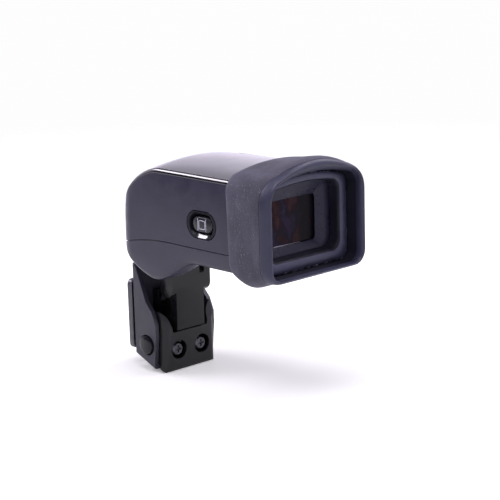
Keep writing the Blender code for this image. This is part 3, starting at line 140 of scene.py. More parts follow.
# The eyecup, as in the solids
CUP_WIDTH = cup_high.x - cup_low.x
CUP_TOP = 17.25 * MM
CUP_BOTTOM = 13.1 * MM
SIDE_WALL = 2.2 * MM
TOP_WALL = 3.9 * MM
BOTTOM_WALL = 1 * MM
CUP_DEPTH = 14.7 * MM
CUP_LEAN = 0.9 * MM
CUP_FLARE = 0.3 * MM
CUP_RISE = 1.85 * MM
CUP_SAG = 1.8 * MM
CUP_BACK_ARCH = 1.5 * MM
CUP_ARCH_GAIN = 1.15 * MM
CUP_BACK_CORNER = 4.8 * MM
CUP_CORNER_GAIN = 2.6 * MM
CUP_LOW_CORNER = 4.5 * MM
LIP_RADIUS = 3.7 * MM
LIP_INNER = 2 * MM
LIP_OUTER_SHARE = 0.6
WELL_DEPTH = 5.9 * MM
RING_WIDTH = 23.8 * MM
RING_TOP = 10.2 * MM
RING_BOTTOM = 8.1 * MM
RING_RISE = 1.2 * MM
BEAD_CORNER = 2.7 * MM
BEAD_ARCH = 0.75 * MM
BEAD_FOOT_SHARE = 0.1
BEAD_POWER = 0.8
BEAD_LIT_SHARE = 0.72
REAR_ROUND = 0.35 * MM
LIP_GROOVE = 0.12 * MM
DUST_WIDTH = 0.3 * MM
WINDOW_HEIGHT = 12.1 * MM
# The pale strip painted as a highlight along the window's lower edge
GLINT_START = -7 * MM
GLINT_END = 3 * MM
GLINT_TALL = 0.24 * MM
GLINT_PROUD = 0.2 * MM
CREASE_TURN = math.radians(8)
CREASE_GAIN = math.radians(44)
FLANGE_DEPTH = 7.9 * MM

# Button and its surround
BUTTON_ALONG = 26.6 * MM
BUTTON_DROP = 0.85 * MM
BEZEL_LENGTH = 10.9 * MM
BEZEL_HEIGHT = 7 * MM
BEZEL_DEPTH = 1.9 * MM
BUTTON_LENGTH = 8 * MM
BUTTON_HEIGHT = 4.4 * MM

# Hinge slot in the belly
PIVOT_Y = RIM_Y + 50 * MM
PIVOT_Z = AXIS_HEIGHT - 12.75 * MM
SLOT_WIDTH = 16.6 * MM
SLOT_START = 33.5 * MM
SLOT_RADIUS = 3.85 * MM
SLOT_ROOF = 0.55 * MM
PIN_BORE = 1.65 * MM
PIN_REACH = 13.45 * MM

# Base and rear cover
BASE_BACK = 15.5 * MM
BEHIND = -BASE_BACK - OVERRUN
BASE_BOTTOM = 15.05 * MM
BASE_HEEL = 10.45 * MM
FOOT_DROP = 4.45 * MM
BASE_WALL = 1.3 * MM
CHEEK_EDGE = [(y * MM, z * MM) for y, z in ((-5.9, 15.2), (-9.75, 5.2), (-12.0, 2.8), (-13.5, -0.8),
                                            (-13.5, -4.3), (-12.5, -13.2), (-11.6, -16.0))]
CHEEK_EDGE_ROUND = 0.45 * MM
RELEASE_ROUND = 0.3 * MM
BASE_WIDTH = 21.8 * MM
COVER_FRONT = 6 * MM
COVER_STEP = 13 * MM
COVER_TOP = 4.4 * MM
COVER_LEAN_TOP = 12.6 * MM
BACK_TOP = 2.15 * MM
COVER_WALL = 1.2 * MM
COVER_ROUND = 1.8 * MM
COVER_EDGE = 0.35 * MM
NOTCH_BOTTOM = 3.5 * MM
NOTCH_FOOT = 6.1 * MM
NOTCH_FLARE = 3.7 * MM
NOTCH_SHARES = ((0, 0), (0.05, 0.03), (0.08, 0.1), (0.13, 0.3), (0.18, 0.42), (0.3, 0.54), (0.44, 0.62),
                (0.62, 0.7), (0.83, 0.765), (1, 0.8))
SINK_RADIUS = 2.7 * MM
SINK_DEPTH = 1.4 * MM
SCREW_HOLE = 1.05 * MM

# Light: each lamp's place, size and power
LIGHT_AIM = (0, -30 * MM, 20 * MM)
LIGHT_TINT = (0.95, 0.9, 1.0)
LAMPS = {"softbox_behind": ((-360 * MM, 660 * MM, 600 * MM), (500 * MM, 300 * MM), 4.4),
         "key_above_left": ((-200 * MM, -200 * MM, 900 * MM), (600 * MM, 600 * MM), 5.2),
         "fill_right": ((550 * MM, -250 * MM, 620 * MM), (400 * MM, 400 * MM), 4.2)}
CARD_NEAR = (-340 * MM, 40 * MM)
CARD_FAR = (-170 * MM, 205 * MM)
CARD_TOP = 170 * MM

# World and floor
FILL = 0.27
BACKDROP = 1.12
BACKDROP_TOP = 0.38
CEILING_START = 0.6
CEILING = 0.35
WORLD_TINT = (0.89, 0.835, 1.0)
WORLD_WHITE = (0.985, 0.985, 0.985)
FLOOR_COLOUR = (0.95, 0.97, 0.92)
FLOOR_LIFT = 0.18
FLOOR_SIZE = 3000 * MM
FLOOR_FADE = 120 * MM
FLOOR_END = 450 * MM

# Edges and surface relief
FINE_EDGE = 0.12 * MM
WELD_DISTANCE = 0.002 * MM
GRAIN = 0.16 * MM
FINE_GRAIN = 0.12 * MM
BLOTCH = 9 * MM
CLOUD = 5 * MM
SMALL_CLOUD = 3 * MM
GLASS_CLOUD = 2 * MM
RUBBER_GRAIN = 0.3 * MM
CLOTH_DEPTH = 0.012 * MM
SATIN_DEPTH = 0.006 * MM
FINE_DEPTH = 0.004 * MM
SMOOTH_DEPTH = 0.003 * MM


# Meshes


def linked(name, data):
    made = bpy.data.objects.new(name, data)
    scene.collection.objects.link(made)
    return made


def loose(name, maker):
    """An object from a bmesh, such as a Boolean's tool."""
    mesh = bpy.data.meshes.new(name)
    maker.to_mesh(mesh)
    maker.free()
    return linked(name, mesh)


def finished(name, maker, material, body="head", smooth=35):
    """Turns a bmesh into a shown piece. Under a node's name it takes that node's place and body."""
    node = frame["nodes"].get(name)
    bmesh.ops.recalc_face_normals(maker, faces=maker.faces)
    piece = loose(name + "_look" if node else name, maker)
    mesh = piece.data
    mesh.materials.append(material)
    mesh.shade_smooth()
    mesh.set_sharp_from_angle(angle=math.radians(smooth))
    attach(piece, node["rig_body"] if node else body)
    if node:
        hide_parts(name)
    return piece


def loft(rings, ring_shut=False, maker=None):
    """Joins rings of equally many points, in a new bmesh or in a given one."""
    maker = maker or bmesh.new()
    rows = [[maker.verts.new(point) for point in ring] for ring in rings]
    pairs = list(zip(rows, rows[1:]))
    if ring_shut:
        pairs.append((rows[-1], rows[0]))
    for lower, upper in pairs:
        for index in range(len(lower)):
            following = (index + 1) % len(lower)
            maker.faces.new((lower[index], lower[following], upper[following], upper[index]))
    if not ring_shut:
        maker.faces.new(rows[0][::-1])
        maker.faces.new(rows[-1])
    bmesh.ops.recalc_face_normals(maker, faces=maker.faces)
    return maker


def in_space(axis, flat, along):
    """A flat point with its place along the third axis put in."""
    point = list(flat)
    point.insert("XYZ".index(axis), along)
    return point


def prism(axis, outline, low, high, maker=None):
    rings = [[in_space(axis, point, along) for point in outline] for along in (low, high)]
    return loft(rings, maker=maker)


def spaced(start, end, steps):
    """Evenly spaced places from a start up to an end, without the end itself."""
    return [start + (end - start) * index / steps for index in range(steps)]


def arc(centre, radius, start, end, steps):
    turns = [math.radians(start + (end - start) * index / steps) for index in range(steps + 1)]
    return [(centre[0] + radius * math.cos(turn), centre[1] + radius * math.sin(turn)) for turn in turns]


def circle(centre, radius, steps):
    return arc(centre, radius, 0, 360 - 360 / steps, steps - 1)


def obround(centre, length, height, steps=16):
    radius = height / 2
    reach = length / 2 - radius
    first = arc((centre[0] + reach, centre[1]), radius, -90, 90, steps)
    return first + arc((centre[0] - reach, centre[1]), radius, 90, 270, steps)


def cut(target, cutters):
    """A bmesh of one solid less others. The loose objects are removed afterwards."""
    solid = loose("cut_solid", target)
    tools = [loose("cut_tool", cutter) for cutter in cutters]
    for tool in tools:
        step = solid.modifiers.new("cut", "BOOLEAN")
        step.operation = "DIFFERENCE"
        step.solver = "EXACT"
        step.object = tool
    bpy.context.view_layer.update()
    done = bpy.data.meshes.new_from_object(solid.evaluated_get(bpy.context.evaluated_depsgraph_get()))
    maker = bmesh.new()
    maker.from_mesh(done)
    for made in [solid] + tools:
        bpy.data.objects.remove(made)
    bpy.data.meshes.remove(done)
    bmesh.ops.remove_doubles(maker, verts=maker.verts, dist=WELD_DISTANCE)
    bmesh.ops.dissolve_degenerate(maker, edges=maker.edges, dist=WELD_DISTANCE)
    return maker


def eased(piece, width, segments=3, angle=38):
    """Rounds a piece's sharp edges, so that they catch the light."""
    step = piece.modifiers.new("eased_edges", "BEVEL")
    step.width = width
    step.segments = segments
    step.limit_method = "ANGLE"
    step.angle_limit = math.radians(angle)
    step.harden_normals = True
    step.miter_outer = "MITER_ARC"
    return piece


def middle(node):
    """The middle of a node's box at rest."""
    return [(low + high) / 2 for low, high in zip(*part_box(node))]


def solid_of(node):
    maker = bmesh.new()
    maker.from_mesh(frame["nodes"][node].data)
    return maker


def refined(node, material, edge=FINE_EDGE, cutters=()):
    """A node's solid again, with flat faces joined, cut where asked and its edges eased."""
    maker = solid_of(node)
    bmesh.ops.remove_doubles(maker, verts=maker.verts, dist=WELD_DISTANCE)
    bmesh.ops.dissolve_limit(maker, angle_limit=math.radians(0.5), verts=maker.verts, edges=maker.edges)
    if cutters:
        maker = cut(maker, cutters)
    return eased(finished(node, maker, material), edge)


# Head surfaces


def half_width(along):
    past = along - (HEAD_LENGTH - PLAN_CORNER)
    corner = PLAN_CORNER - math.sqrt(max(PLAN_CORNER ** 2 - max(past, 0) ** 2, 0))
    return HEAD_WIDTH / 2 - HEAD_TAPER * along / HEAD_LENGTH - corner


def ridge(along):
    past = max(along - FRONT_START, 0) / (HEAD_LENGTH - FRONT_START)
    return (RIDGE_HEIGHT + FRONT_MIDDLE) * math.sqrt(max(1 - past ** FRONT_POWER, 0)) - FRONT_MIDDLE


def crown(along):
    past = max(along - CROWN_FALL_START, 0) / (HEAD_LENGTH - CROWN_FALL_START)
    return CROWN * (1 - CROWN_FALL_SHARE * past ** 2)


def keel(along):
    if along < BELLY_LOW:
        share = min(max((along - BELLY_START) / (BELLY_LOW - BELLY_START), 0), 1)
        return UNDERSIDE_DEPTH + (BELLY_DEPTH - UNDERSIDE_DEPTH) * (1 - math.cos(math.pi * share)) / 2
    share = min((along - BELLY_LOW) / (HEAD_LENGTH - BELLY_LOW), 1)
    swell = max(1 - share ** CHIN_POWER, 0) ** (1 / CHIN_POWER)
    return CHIN_DEPTH + (BELLY_DEPTH - CHIN_DEPTH) * swell


def seam(along):
    past = max(along - SEAM_DIP_START, 0) / (HEAD_LENGTH - SEAM_DIP_START)
    return SEAM_DEPTH + SEAM_DIP * past ** 2


def rim_half(width, radius):
    return width * (1 - SIDE_LEAN_SHARE) - radius


def arched(reach, low, rise, steps=10):
    """The right half of an arch, from beside its end to its middle."""
    shares = [1 - index / steps for index in range(1, steps + 1)]
    return [(reach * share, low + rise * (1 - share ** 2)) for share in shares]


def placed(half, along, top, depth, lean):
    """A ring across the head from its right half, which leans back towards its top."""
    whole = half + [(-across, level) for across, level in half[-2::-1] if across]
    return [(across, RIM_Y + along + lean * (level + depth) / (top + depth), AXIS_HEIGHT + level)
            for across, level in whole]


def section(along, width, top, arch, depth, upper, lower, lean=0.0):
    """One ring across the head, with sides that curve in a little towards the top."""
    upper = min(upper, (top + depth) / 3)
    lower = min(lower, (top + depth) / 3)
    low, high = lower - depth, top - upper
    corner_steps, side_steps = 6, 8
    half = [(0, -depth)] + arc((width - lower, low), lower, -90, 0, corner_steps)
    for index in range(1, side_steps):
        share = index / side_steps
        bow = share ** 2 * LOW_BOW_SHARE + share ** 6 * (1 - LOW_BOW_SHARE)
        half.append((width * (1 - SIDE_LEAN_SHARE * bow), low + (high - low) * share))
    rim = rim_half(width, upper)
    half += arc((rim, high), upper, 0, 90, corner_steps) + arched(rim, top, arch)
    return placed(half, along, top, depth, lean)


def front_places(reach, turn, steps):
    """Places along the head's front that close up as it turns down."""
    return [FRONT_START + reach * math.sin(turn * index / steps) for index in range(steps + 1)]


def stations(start, end):
    """Places along the head, close together where it curves."""
    step = CUP_DEPTH + CLEAR
    places = [start, step - CLEAR / 2, step, step + 2 * CUP_LEAN, BELLY_START - 6 * CLEAR]
    belly_steps, front_steps = 18, 30
    return (places + spaced(BELLY_START, FRONT_START, belly_steps)
            + front_places(end - FRONT_START, math.pi / 2, front_steps))


def neck(along):
    return NECK_INSET if along < CUP_DEPTH + CLEAR else 0


def head_body():
    rings = []
    for along in stations(SHELL_START, HEAD_LENGTH):
        inset = neck(along)
        lean = CUP_LEAN if SHELL_START < along <= CUP_DEPTH + CLEAR else 0
        rings.append(section(along, half_width(along) - inset, ridge(along) - inset, crown(along),
                             keel(along) - inset / 2, RIDGE_RADIUS, KEEL_RADIUS + inset, lean))
    return loft(rings)


def head_cavity():
    roof = PANEL_THICKNESS + CLEAR + SHELL_WALL / 2
    floor_back = UNDERSIDE_DEPTH - SHELL_WALL
    floor_front = SEAM_DEPTH - SHELL_WALL / 2
    end = HEAD_LENGTH - roof - SHELL_WALL / 2
    rings = []
    for along in stations(SHELL_START - OVERRUN, end):
        past = min(max((along - BELLY_START) / (2 * SHELL_WALL), 0), 1)
        depth = floor_back + (floor_front - floor_back) * past
        outer = along * HEAD_LENGTH / end
        width = half_width(outer) - neck(along) - SHELL_WALL
        drop = NECK_INSET + SHELL_WALL / 2 if neck(along) else roof
        rings.append(section(along, width, max(ridge(outer) - drop, -depth / 2), crown(outer), depth,
                             RIDGE_RADIUS, KEEL_RADIUS / 2))
    return loft(rings)


def half_space(below, shift):
    """Everything on one side of the line where the shells meet."""
    reach, steps = 2 * HEAD_LENGTH, 48
    line = [(RIM_Y + along, AXIS_HEIGHT - seam(along) + shift)
            for along in spaced(0, HEAD_LENGTH, steps) + [HEAD_LENGTH]]
    line = [(RIM_Y - OVERRUN, line[0][1])] + line + [(RIM_Y + HEAD_LENGTH + OVERRUN, line[-1][1])]
    far = AXIS_HEIGHT - reach if below else AXIS_HEIGHT + reach
    outline = line + [(line[-1][0], far), (line[0][0], far)]
    return prism("X", outline, -HEAD_WIDTH, HEAD_WIDTH)


def panel_rings(lift, depth, margin):
    """A skin over the head's top and round its front, between two offsets from the surface."""
    start = CUP_DEPTH + CUP_LEAN + 2 * CLEAR - margin
    reach = HEAD_LENGTH - FRONT_START
    flat_steps, turn_steps, across_steps = 12, 32, 24
    places = spaced(start, FRONT_START, flat_steps)
    places += front_places(reach, PANEL_END_TURN + margin / reach, turn_steps)
    nudge = CLEAR / 8
    step_share = 0.05

    def surface(along, share):
        rim = rim_half(half_width(along), RIDGE_RADIUS)
        across = share * (rim + margin)
        height = ridge(along) + crown(along) * (1 - (across / rim) ** 2)
        return Vector((across, RIM_Y + along, AXIS_HEIGHT + height))

    def facing(along, share):
        low = min(along, HEAD_LENGTH - 2 * nudge)
        forward = surface(low + nudge, share) - surface(low - nudge, share)
        sideways = surface(low, share + step_share) - surface(low, share - step_share)
        return sideways.cross(forward).normalized()

    rings = []
    for along in places:
        row = [2 * index / across_steps - 1 for index in range(across_steps + 1)]
        outer = [surface(along, share) + facing(along, share) * lift for share in row]
        inner = [surface(along, share) - facing(along, share) * depth for share in reversed(row)]
        rings.append(outer + inner)
    return rings


def button_centre():
    return (RIM_Y + BUTTON_ALONG, AXIS_HEIGHT - BUTTON_DROP)


# Materials


def add_node(tree, kind):
    return tree.nodes.new("ShaderNode" + kind)


def map_range(tree, source, low, high, start, end):
    """A node that turns the range from start to end into that from low to high."""
    made = add_node(tree, "MapRange")
    for socket, value in zip(("From Min", "From Max", "To Min", "To Max"), (start, end, low, high)):
        made.inputs[socket].default_value = value
    tree.links.new(source, made.inputs["Value"])
    return made.outputs["Result"]


def mixed(tree, share, first, second, kind="RGBA"):
    """A node that mixes two colours or, of the kind FLOAT, two values."""
    made = add_node(tree, "Mix")
    made.data_type = kind
    result, *sockets = (2, 0, 6, 7) if kind == "RGBA" else (0, 0, 2, 3)
    for socket, value in zip(sockets, (share, first, second)):
        if hasattr(value, "node"):
            tree.links.new(value, made.inputs[socket])
        else:
            made.inputs[socket].default_value = (*value, 1.0) if isinstance(value, tuple) else value
    return made.outputs[result]


class Paint:
    """A Principled material and the few node chains that the finishes share."""

    def __init__(self, name, colour, roughness, metallic=0.0, specular=0.5):
        self.material = bpy.data.materials.new(name)
        self.material.use_nodes = True
        self.tree = self.material.node_tree
        self.shader = self.tree.nodes["Principled BSDF"]
        self.set("Base Color", (*colour, 1.0))
        self.set("Roughness", roughness)
        self.set("Metallic", metallic)
        self.set("Specular IOR Level", specular)
        self.place = add_node(self.tree, "TexCoord").outputs["Object"]

    def set(self, socket, value):
        self.shader.inputs[socket].default_value = value

    def link(self, start, end):
        self.tree.links.new(start, end)

    def noise(self, size, detail=2.0, stretch=(1, 1, 1)):
        """Noise whose grain is about one size across."""
        mapping = add_node(self.tree, "Mapping")
        mapping.inputs["Scale"].default_value = stretch
        self.link(self.place, mapping.inputs["Vector"])
        made = add_node(self.tree, "TexNoise")
        made.inputs["Scale"].default_value = 1 / size
        made.inputs["Detail"].default_value = detail
        self.link(mapping.outputs["Vector"], made.inputs["Vector"])
        return made.outputs["Fac"]

    def ramp(self, source, stops):
        made = add_node(self.tree, "ValToRGB")
        points = made.color_ramp.elements
        while len(points) < len(stops):
            points.new(0.5)
        for point, (where, colour) in zip(points, stops):
            point.position = where
            point.color = (*colour, 1.0)
        self.link(source, made.inputs["Fac"])
        return made.outputs["Color"]

    def shades(self, source, colour, dark, light):
        """A colour that wanders between two strengths of itself."""
        return self.ramp(source, ((0.3, shaded(colour, dark)), (0.7, shaded(colour, light))))

    def specks(self, size, detail, start, end, most=1):
        """A mask of scattered specks."""
        return self.ramp(self.noise(size, detail), ((start, (0, 0, 0)), (end, (most, most, most))))

    def spread(self, source, low, high, start=0.3, end=0.7):
        return map_range(self.tree, source, low, high, start, end)

    def mix(self, share, first, second):
        return mixed(self.tree, share, first, second)

    def bumps(self, *layers):
        """Bump from several heights, each with its depth in metres."""
        normal = None
        for height, depth in layers:
            made = add_node(self.tree, "Bump")
            made.inputs["Distance"].default_value = depth
            self.link(height, made.inputs["Height"])
            if normal:
                self.link(normal, made.inputs["Normal"])
            normal = made.outputs["Normal"]
        self.link(normal, self.shader.inputs["Normal"])

    def colour(self, source):
        self.link(source, self.shader.inputs["Base Color"])

    def roughness(self, source, low, high):
        self.link(self.spread(source, low, high), self.shader.inputs["Roughness"])


def shaded(colour, factor):
    return tuple(value * factor for value in colour)


def moulded(name, colour, roughness, depth, specular=0.5, grain=GRAIN):
    """Moulded plastic or paint: fine grain, faint uneven colour and handling marks in its gloss."""
    paint = Paint(name, colour, roughness, specular=specular)
    fine = paint.noise(grain, 3.0)
    paint.colour(paint.shades(paint.noise(BLOTCH, 3.0), colour, 0.9, 1.12))
    paint.roughness(paint.noise(BLOTCH / 3, 4.0), roughness - 0.05, roughness + 0.06)
    paint.bumps((fine, depth))
    return paint.material


# Colours, set so that each finish renders at the colour that the photograph shows
SHELL_COLOUR = (0.026, 0.0245, 0.048)
PANEL_COLOUR = (0.01, 0.0095, 0.013)
RUBBER_COLOUR = (0.054, 0.052, 0.078)
# Darker and bluer than the skin: painted shade and reflection on the lip's roll.
SHADED_LIP_COLOUR = (0.022, 0.024, 0.055)
# Lighter than the lip: a painted lit band where light from above falls on the bead.
LIT_BEAD_COLOUR = (0.05, 0.052, 0.1)
# Far darker than the skin: painted shade inside the hood.
SHADED_WELL_COLOUR = (0.011, 0.011, 0.02)
BLACK_COLOUR = (0.011, 0.011, 0.02)
FUNNEL_COLOUR = (0.02, 0.02, 0.044)
BASE_COLOUR = (0.032, 0.031, 0.048)
COVER_COLOUR = (0.011, 0.0105, 0.0115)
DUST_COLOUR = (0.3, 0.3, 0.34)
THIN_DUST_COLOUR = (0.17, 0.165, 0.2)
THICK_DUST_COLOUR = (0.6, 0.6, 0.66)


def shell_finish():
    return moulded("matt_shell_paint", SHELL_COLOUR, 0.33, FINE_DEPTH)


def panel_finish():
    """Black lacquer, very faintly wavy."""
    wave, wave_depth = 6 * MM, 0.01 * MM
    paint = Paint("gloss_panel_lacquer", PANEL_COLOUR, 0.16)
    paint.set("IOR", 1.6)
    paint.set("Coat Weight", 1.0)
    paint.set("Coat Roughness", 0.06)
    paint.roughness(paint.noise(CLOUD, 4.0), 0.12, 0.24)
    paint.bumps((paint.noise(wave, 1.0), wave_depth))
    return paint.material


def rubber_finish():
    """Matt rubber, a little mottled where it has been wiped, with fine dust on it."""
    cloud, dust_size = 7 * MM, 0.4 * MM
    grain, grain_depth, dent_depth = 0.22 * MM, 0.02 * MM, 0.03 * MM
    paint = Paint("eyecup_rubber_skin", RUBBER_COLOUR, 0.8, specular=0.35)
    cloudy = paint.noise(cloud, 5.0, (1, 1, 0.5))
    body = paint.ramp(cloudy, ((0.3, shaded(RUBBER_COLOUR, 0.72)), (0.52, RUBBER_COLOUR),
                               (0.72, shaded(RUBBER_COLOUR, 1.5))))
    paint.colour(paint.mix(paint.specks(dust_size, 3.0, 0.6, 0.72, 0.8), body, THIN_DUST_COLOUR))
    paint.roughness(cloudy, 0.85, 0.6)
    paint.set("Sheen Weight", 0.1)
    paint.set("Sheen Roughness", 0.5)
    paint.bumps((paint.noise(grain, 4.0), grain_depth), (paint.noise(SMALL_CLOUD, 2.0), dent_depth))
    return paint.material


def shaded_lip_finish():
    """The lip's smoother rubber, coloured darker and bluer than the skin as painted shade and reflection
    on its roll.
    """
    grain, grain_depth = 0.25 * MM, 0.014 * MM
    paint = Paint("eyecup_lip_painted_shade_rubber", SHADED_LIP_COLOUR, 0.45)
    cloudy = paint.noise(CLOUD, 4.0)
    paint.colour(paint.shades(cloudy, SHADED_LIP_COLOUR, 0.85, 1.2))
    paint.roughness(cloudy, 0.4, 0.55)
    paint.set("Sheen Weight", 0.06)
    paint.bumps((paint.noise(grain, 4.0), grain_depth))
    return paint.material


def dusty_finish():
    """The crease at the bead's foot, painted dark as shade, where light dust has gathered."""
    clump, clump_depth, thin_dust = 1.6 * MM, 0.04 * MM, (0.16, 0.16, 0.2)
    paint = Paint("eyecup_dusty_crease", SHADED_WELL_COLOUR, 0.8, specular=0.3)
    dust = paint.noise(clump, 6.0)
    paint.colour(paint.ramp(dust, ((0.46, SHADED_WELL_COLOUR), (0.54, thin_dust), (0.66, THICK_DUST_COLOUR))))
    paint.bumps((dust, clump_depth))
    return paint.material


def shaded_well_finish():
    """The hood's inside: painted dark as shade, smoother, with specks of dust."""
    dust_size, grain_depth = 0.35 * MM, 0.012 * MM
    paint = Paint("eyecup_well_painted_shade_rubber", SHADED_WELL_COLOUR, 0.62, specular=0.25)
    cloudy = paint.noise(CLOUD, 3.0)
    body = paint.shades(cloudy, SHADED_WELL_COLOUR, 0.85, 1.25)
    paint.colour(paint.mix(paint.specks(dust_size, 2.0, 0.74, 0.79), body, DUST_COLOUR))
    paint.roughness(cloudy, 0.5, 0.7)
    paint.bumps((paint.noise(RUBBER_GRAIN, 3.0), grain_depth))
    return paint.material


def lit_bead_finish():
    """The raised ring's bluish rubber, coloured lighter as a painted lit band, and a little shiny where an
    eye has rubbed it.
    """
    cloud, grain_depth = 4 * MM, 0.01 * MM
    paint = Paint("eyecup_bead_painted_lit_rubber", LIT_BEAD_COLOUR, 0.4)
    cloudy = paint.noise(cloud, 3.0)
    paint.colour(paint.shades(cloudy, LIT_BEAD_COLOUR, 0.75, 1.1))
    paint.roughness(cloudy, 0.32, 0.5)
    paint.bumps((paint.noise(RUBBER_GRAIN, 3.0), grain_depth))
    return paint.material


def funnel_finish():
    return moulded("funnel_black_plastic", FUNNEL_COLOUR, 0.28, FINE_DEPTH, 0.25, FINE_GRAIN)


def black_finish():
    return moulded("black_plastic_fine", BLACK_COLOUR, 0.42, FINE_DEPTH, grain=FINE_GRAIN)


def window_finish():
    """Coated glass over a dark tube, with painted reddish and violet reflections, a painted dark band of
    shade down it and specks of dust.
    """
    deep, warm, violet = (0.006, 0.005, 0.008), (0.075, 0.026, 0.034), (0.04, 0.026, 0.066)
    patch, dust_size = 3.6 * MM, 0.3 * MM
    paint = Paint("window_glass_painted_reflections", deep, 0.1, specular=0.06)
    cloudy = paint.noise(patch, 3.0, (1, 1, 0.7))
    painted_reflection = paint.ramp(cloudy, ((0.34, warm), (0.46, shaded(warm, 0.45)), (0.52, shaded(violet, 0.4)),
                               (0.64, violet)))
    parts = add_node(paint.tree, "SeparateXYZ")
    paint.link(paint.place, parts.inputs["Vector"])
    low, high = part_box("eyepiece_window")
    across = paint.spread(parts.outputs["X"], 0, 1, low.x, high.x)
    grey = (0.5, 0.5, 0.5)
    # Where the painted reflections show, and where painted shade of the tube's wall darkens the glass.
    reflection_and_shade_band = paint.ramp(across, ((0, grey), (0.25, (1, 1, 1)), (0.62, grey), (0.72, (0, 0, 0)),
                                     (0.86, (0, 0, 0)), (0.885, grey), (0.91, (0, 0, 0))))
    dust = paint.specks(dust_size, 1.0, 0.79, 0.83)
    paint.colour(paint.mix(dust, paint.mix(reflection_and_shade_band, deep, painted_reflection), DUST_COLOUR))
    paint.roughness(paint.noise(GLASS_CLOUD, 5.0), 0.06, 0.16)
    return paint.material


def painted_glint_finish():
    # A pale colour that paints the highlight on the window's edge.
    depth = 0.002 * MM
    return moulded("window_edge_painted_highlight", (0.6, 0.57, 0.66), 0.3, depth)


def button_finish():
    return moulded("button_plastic_satin", (0.014, 0.014, 0.018), 0.28, SMOOTH_DEPTH)


def release_finish():
    return moulded("release_plastic_gloss", (0.008, 0.008, 0.011), 0.22, SMOOTH_DEPTH, 0.35)


def surround_finish():
    return moulded("button_surround_black", shaded(BLACK_COLOUR, 0.6), 0.35, SMOOTH_DEPTH, 0.2)


def print_finish():
    ink_grain = 0.2 * MM
    paint = Paint("white_print", (0.62, 0.61, 0.72), 0.5)
    ink = paint.noise(ink_grain, 3.0)
    paint.colour(paint.ramp(ink, ((0.3, (0.5, 0.5, 0.6)), (0.7, (0.68, 0.67, 0.78)))))
    return paint.material


def base_finish():
    return moulded("base_satin_paint", BASE_COLOUR, 0.4, SATIN_DEPTH)


def cover_finish():
    return moulded("cover_plastic_grain", COVER_COLOUR, 0.36, SATIN_DEPTH, 0.35)


def arm_finish():
    return moulded("hinge_satin_paint", (0.009, 0.009, 0.011), 0.2, SMOOTH_DEPTH, 0.3)


def metal(name, colour, roughness, brushed=(1, 1, 1)):
    """Metal with fine brushing or cast grain, and worn spots that are brighter."""
    grain = 0.15 * MM
    paint = Paint(name, colour, roughness, metallic=1.0)
    lines = paint.noise(grain, 4.0, brushed)
    worn = paint.noise(SMALL_CLOUD, 5.0)
    paint.colour(paint.ramp(worn, ((0.4, colour), (0.75, shaded(colour, 1.5)))))
    paint.roughness(lines, roughness - 0.07, roughness + 0.1)
    paint.bumps((lines, FINE_DEPTH))
    return paint.material


def screw_finish():
    return metal("screw_blackened_steel", (0.09, 0.09, 0.1), 0.35)


def steel_finish():
    return metal("plain_steel_turned", (0.5, 0.5, 0.52), 0.28)


def foot_finish():
    return metal("foot_blackened_steel", (0.1, 0.1, 0.11), 0.36, (0.08, 1, 1))


def gold_finish():
    return metal("contact_gold_plate", (0.8, 0.56, 0.22), 0.22)


def lens_finish():
    smear = 1.5 * MM
    paint = Paint("lens_clear_coated", (0.6, 0.62, 0.7), 0.04)
    paint.set("Transmission Weight", 0.85)
    paint.set("IOR", 1.52)
    paint.set("Coat Weight", 0.4)
    paint.roughness(paint.noise(smear, 3.0), 0.02, 0.07)
    return paint.material


def display_finish():
    dot = 0.05 * MM
    paint = Paint("display_dark_glass", (0.01, 0.012, 0.02), 0.1)
    dots = paint.noise(dot, 1.0)
    paint.colour(paint.ramp(dots, ((0.4, (0.008, 0.009, 0.016)), (0.6, (0.014, 0.016, 0.026)))))
    paint.roughness(paint.noise(GLASS_CLOUD, 3.0), 0.07, 0.16)
    return paint.material


def board_finish():
    """Solder mask with tracks showing faintly under it."""
    green, track = (0.006, 0.06, 0.028), (0.012, 0.12, 0.05)
    pitch, track_depth = 0.6 * MM, 0.02 * MM
    paint = Paint("circuit_board_mask", green, 0.35)
    tracks = paint.noise(pitch, 1.0, (1, 1, 0.15))
    paint.colour(paint.ramp(tracks, ((0.48, green), (0.52, track))))
    paint.bumps((tracks, track_depth))
    return paint.material


def flex_finish():
    amber, conductor = (0.32, 0.13, 0.02), (0.45, 0.22, 0.05)
    pitch = 0.5 * MM
    paint = Paint("flex_polyimide", amber, 0.3)
    lines = paint.noise(pitch, 0.0, (1, 0.02, 0.02))
    paint.colour(paint.ramp(lines, ((0.48, amber), (0.54, conductor))))
    paint.set("Coat Weight", 0.4)
    return paint.material


# Eyecup


def cup_outline(along, width, top, arch, bottom, corner, low_corner=None, lean=0.0):
    """One ring across the eyecup, with rounded corners and an arched top edge."""
    low_corner = low_corner or corner
    half = width / 2
    corner_steps, side_steps = 9, 5
    right = arc((half - low_corner, low_corner - bottom), low_corner, -90, 0, corner_steps)
    low, high = low_corner - bottom, top - arch - corner
    right += [(half, low + (high - low) * index / side_steps) for index in range(1, side_steps)]
    right += arc((half - corner, high), corner, 0, 75, corner_steps)
    shoulder, height = right[-1]
    return placed(right + arched(shoulder, height, top - height), along, top, bottom, lean)


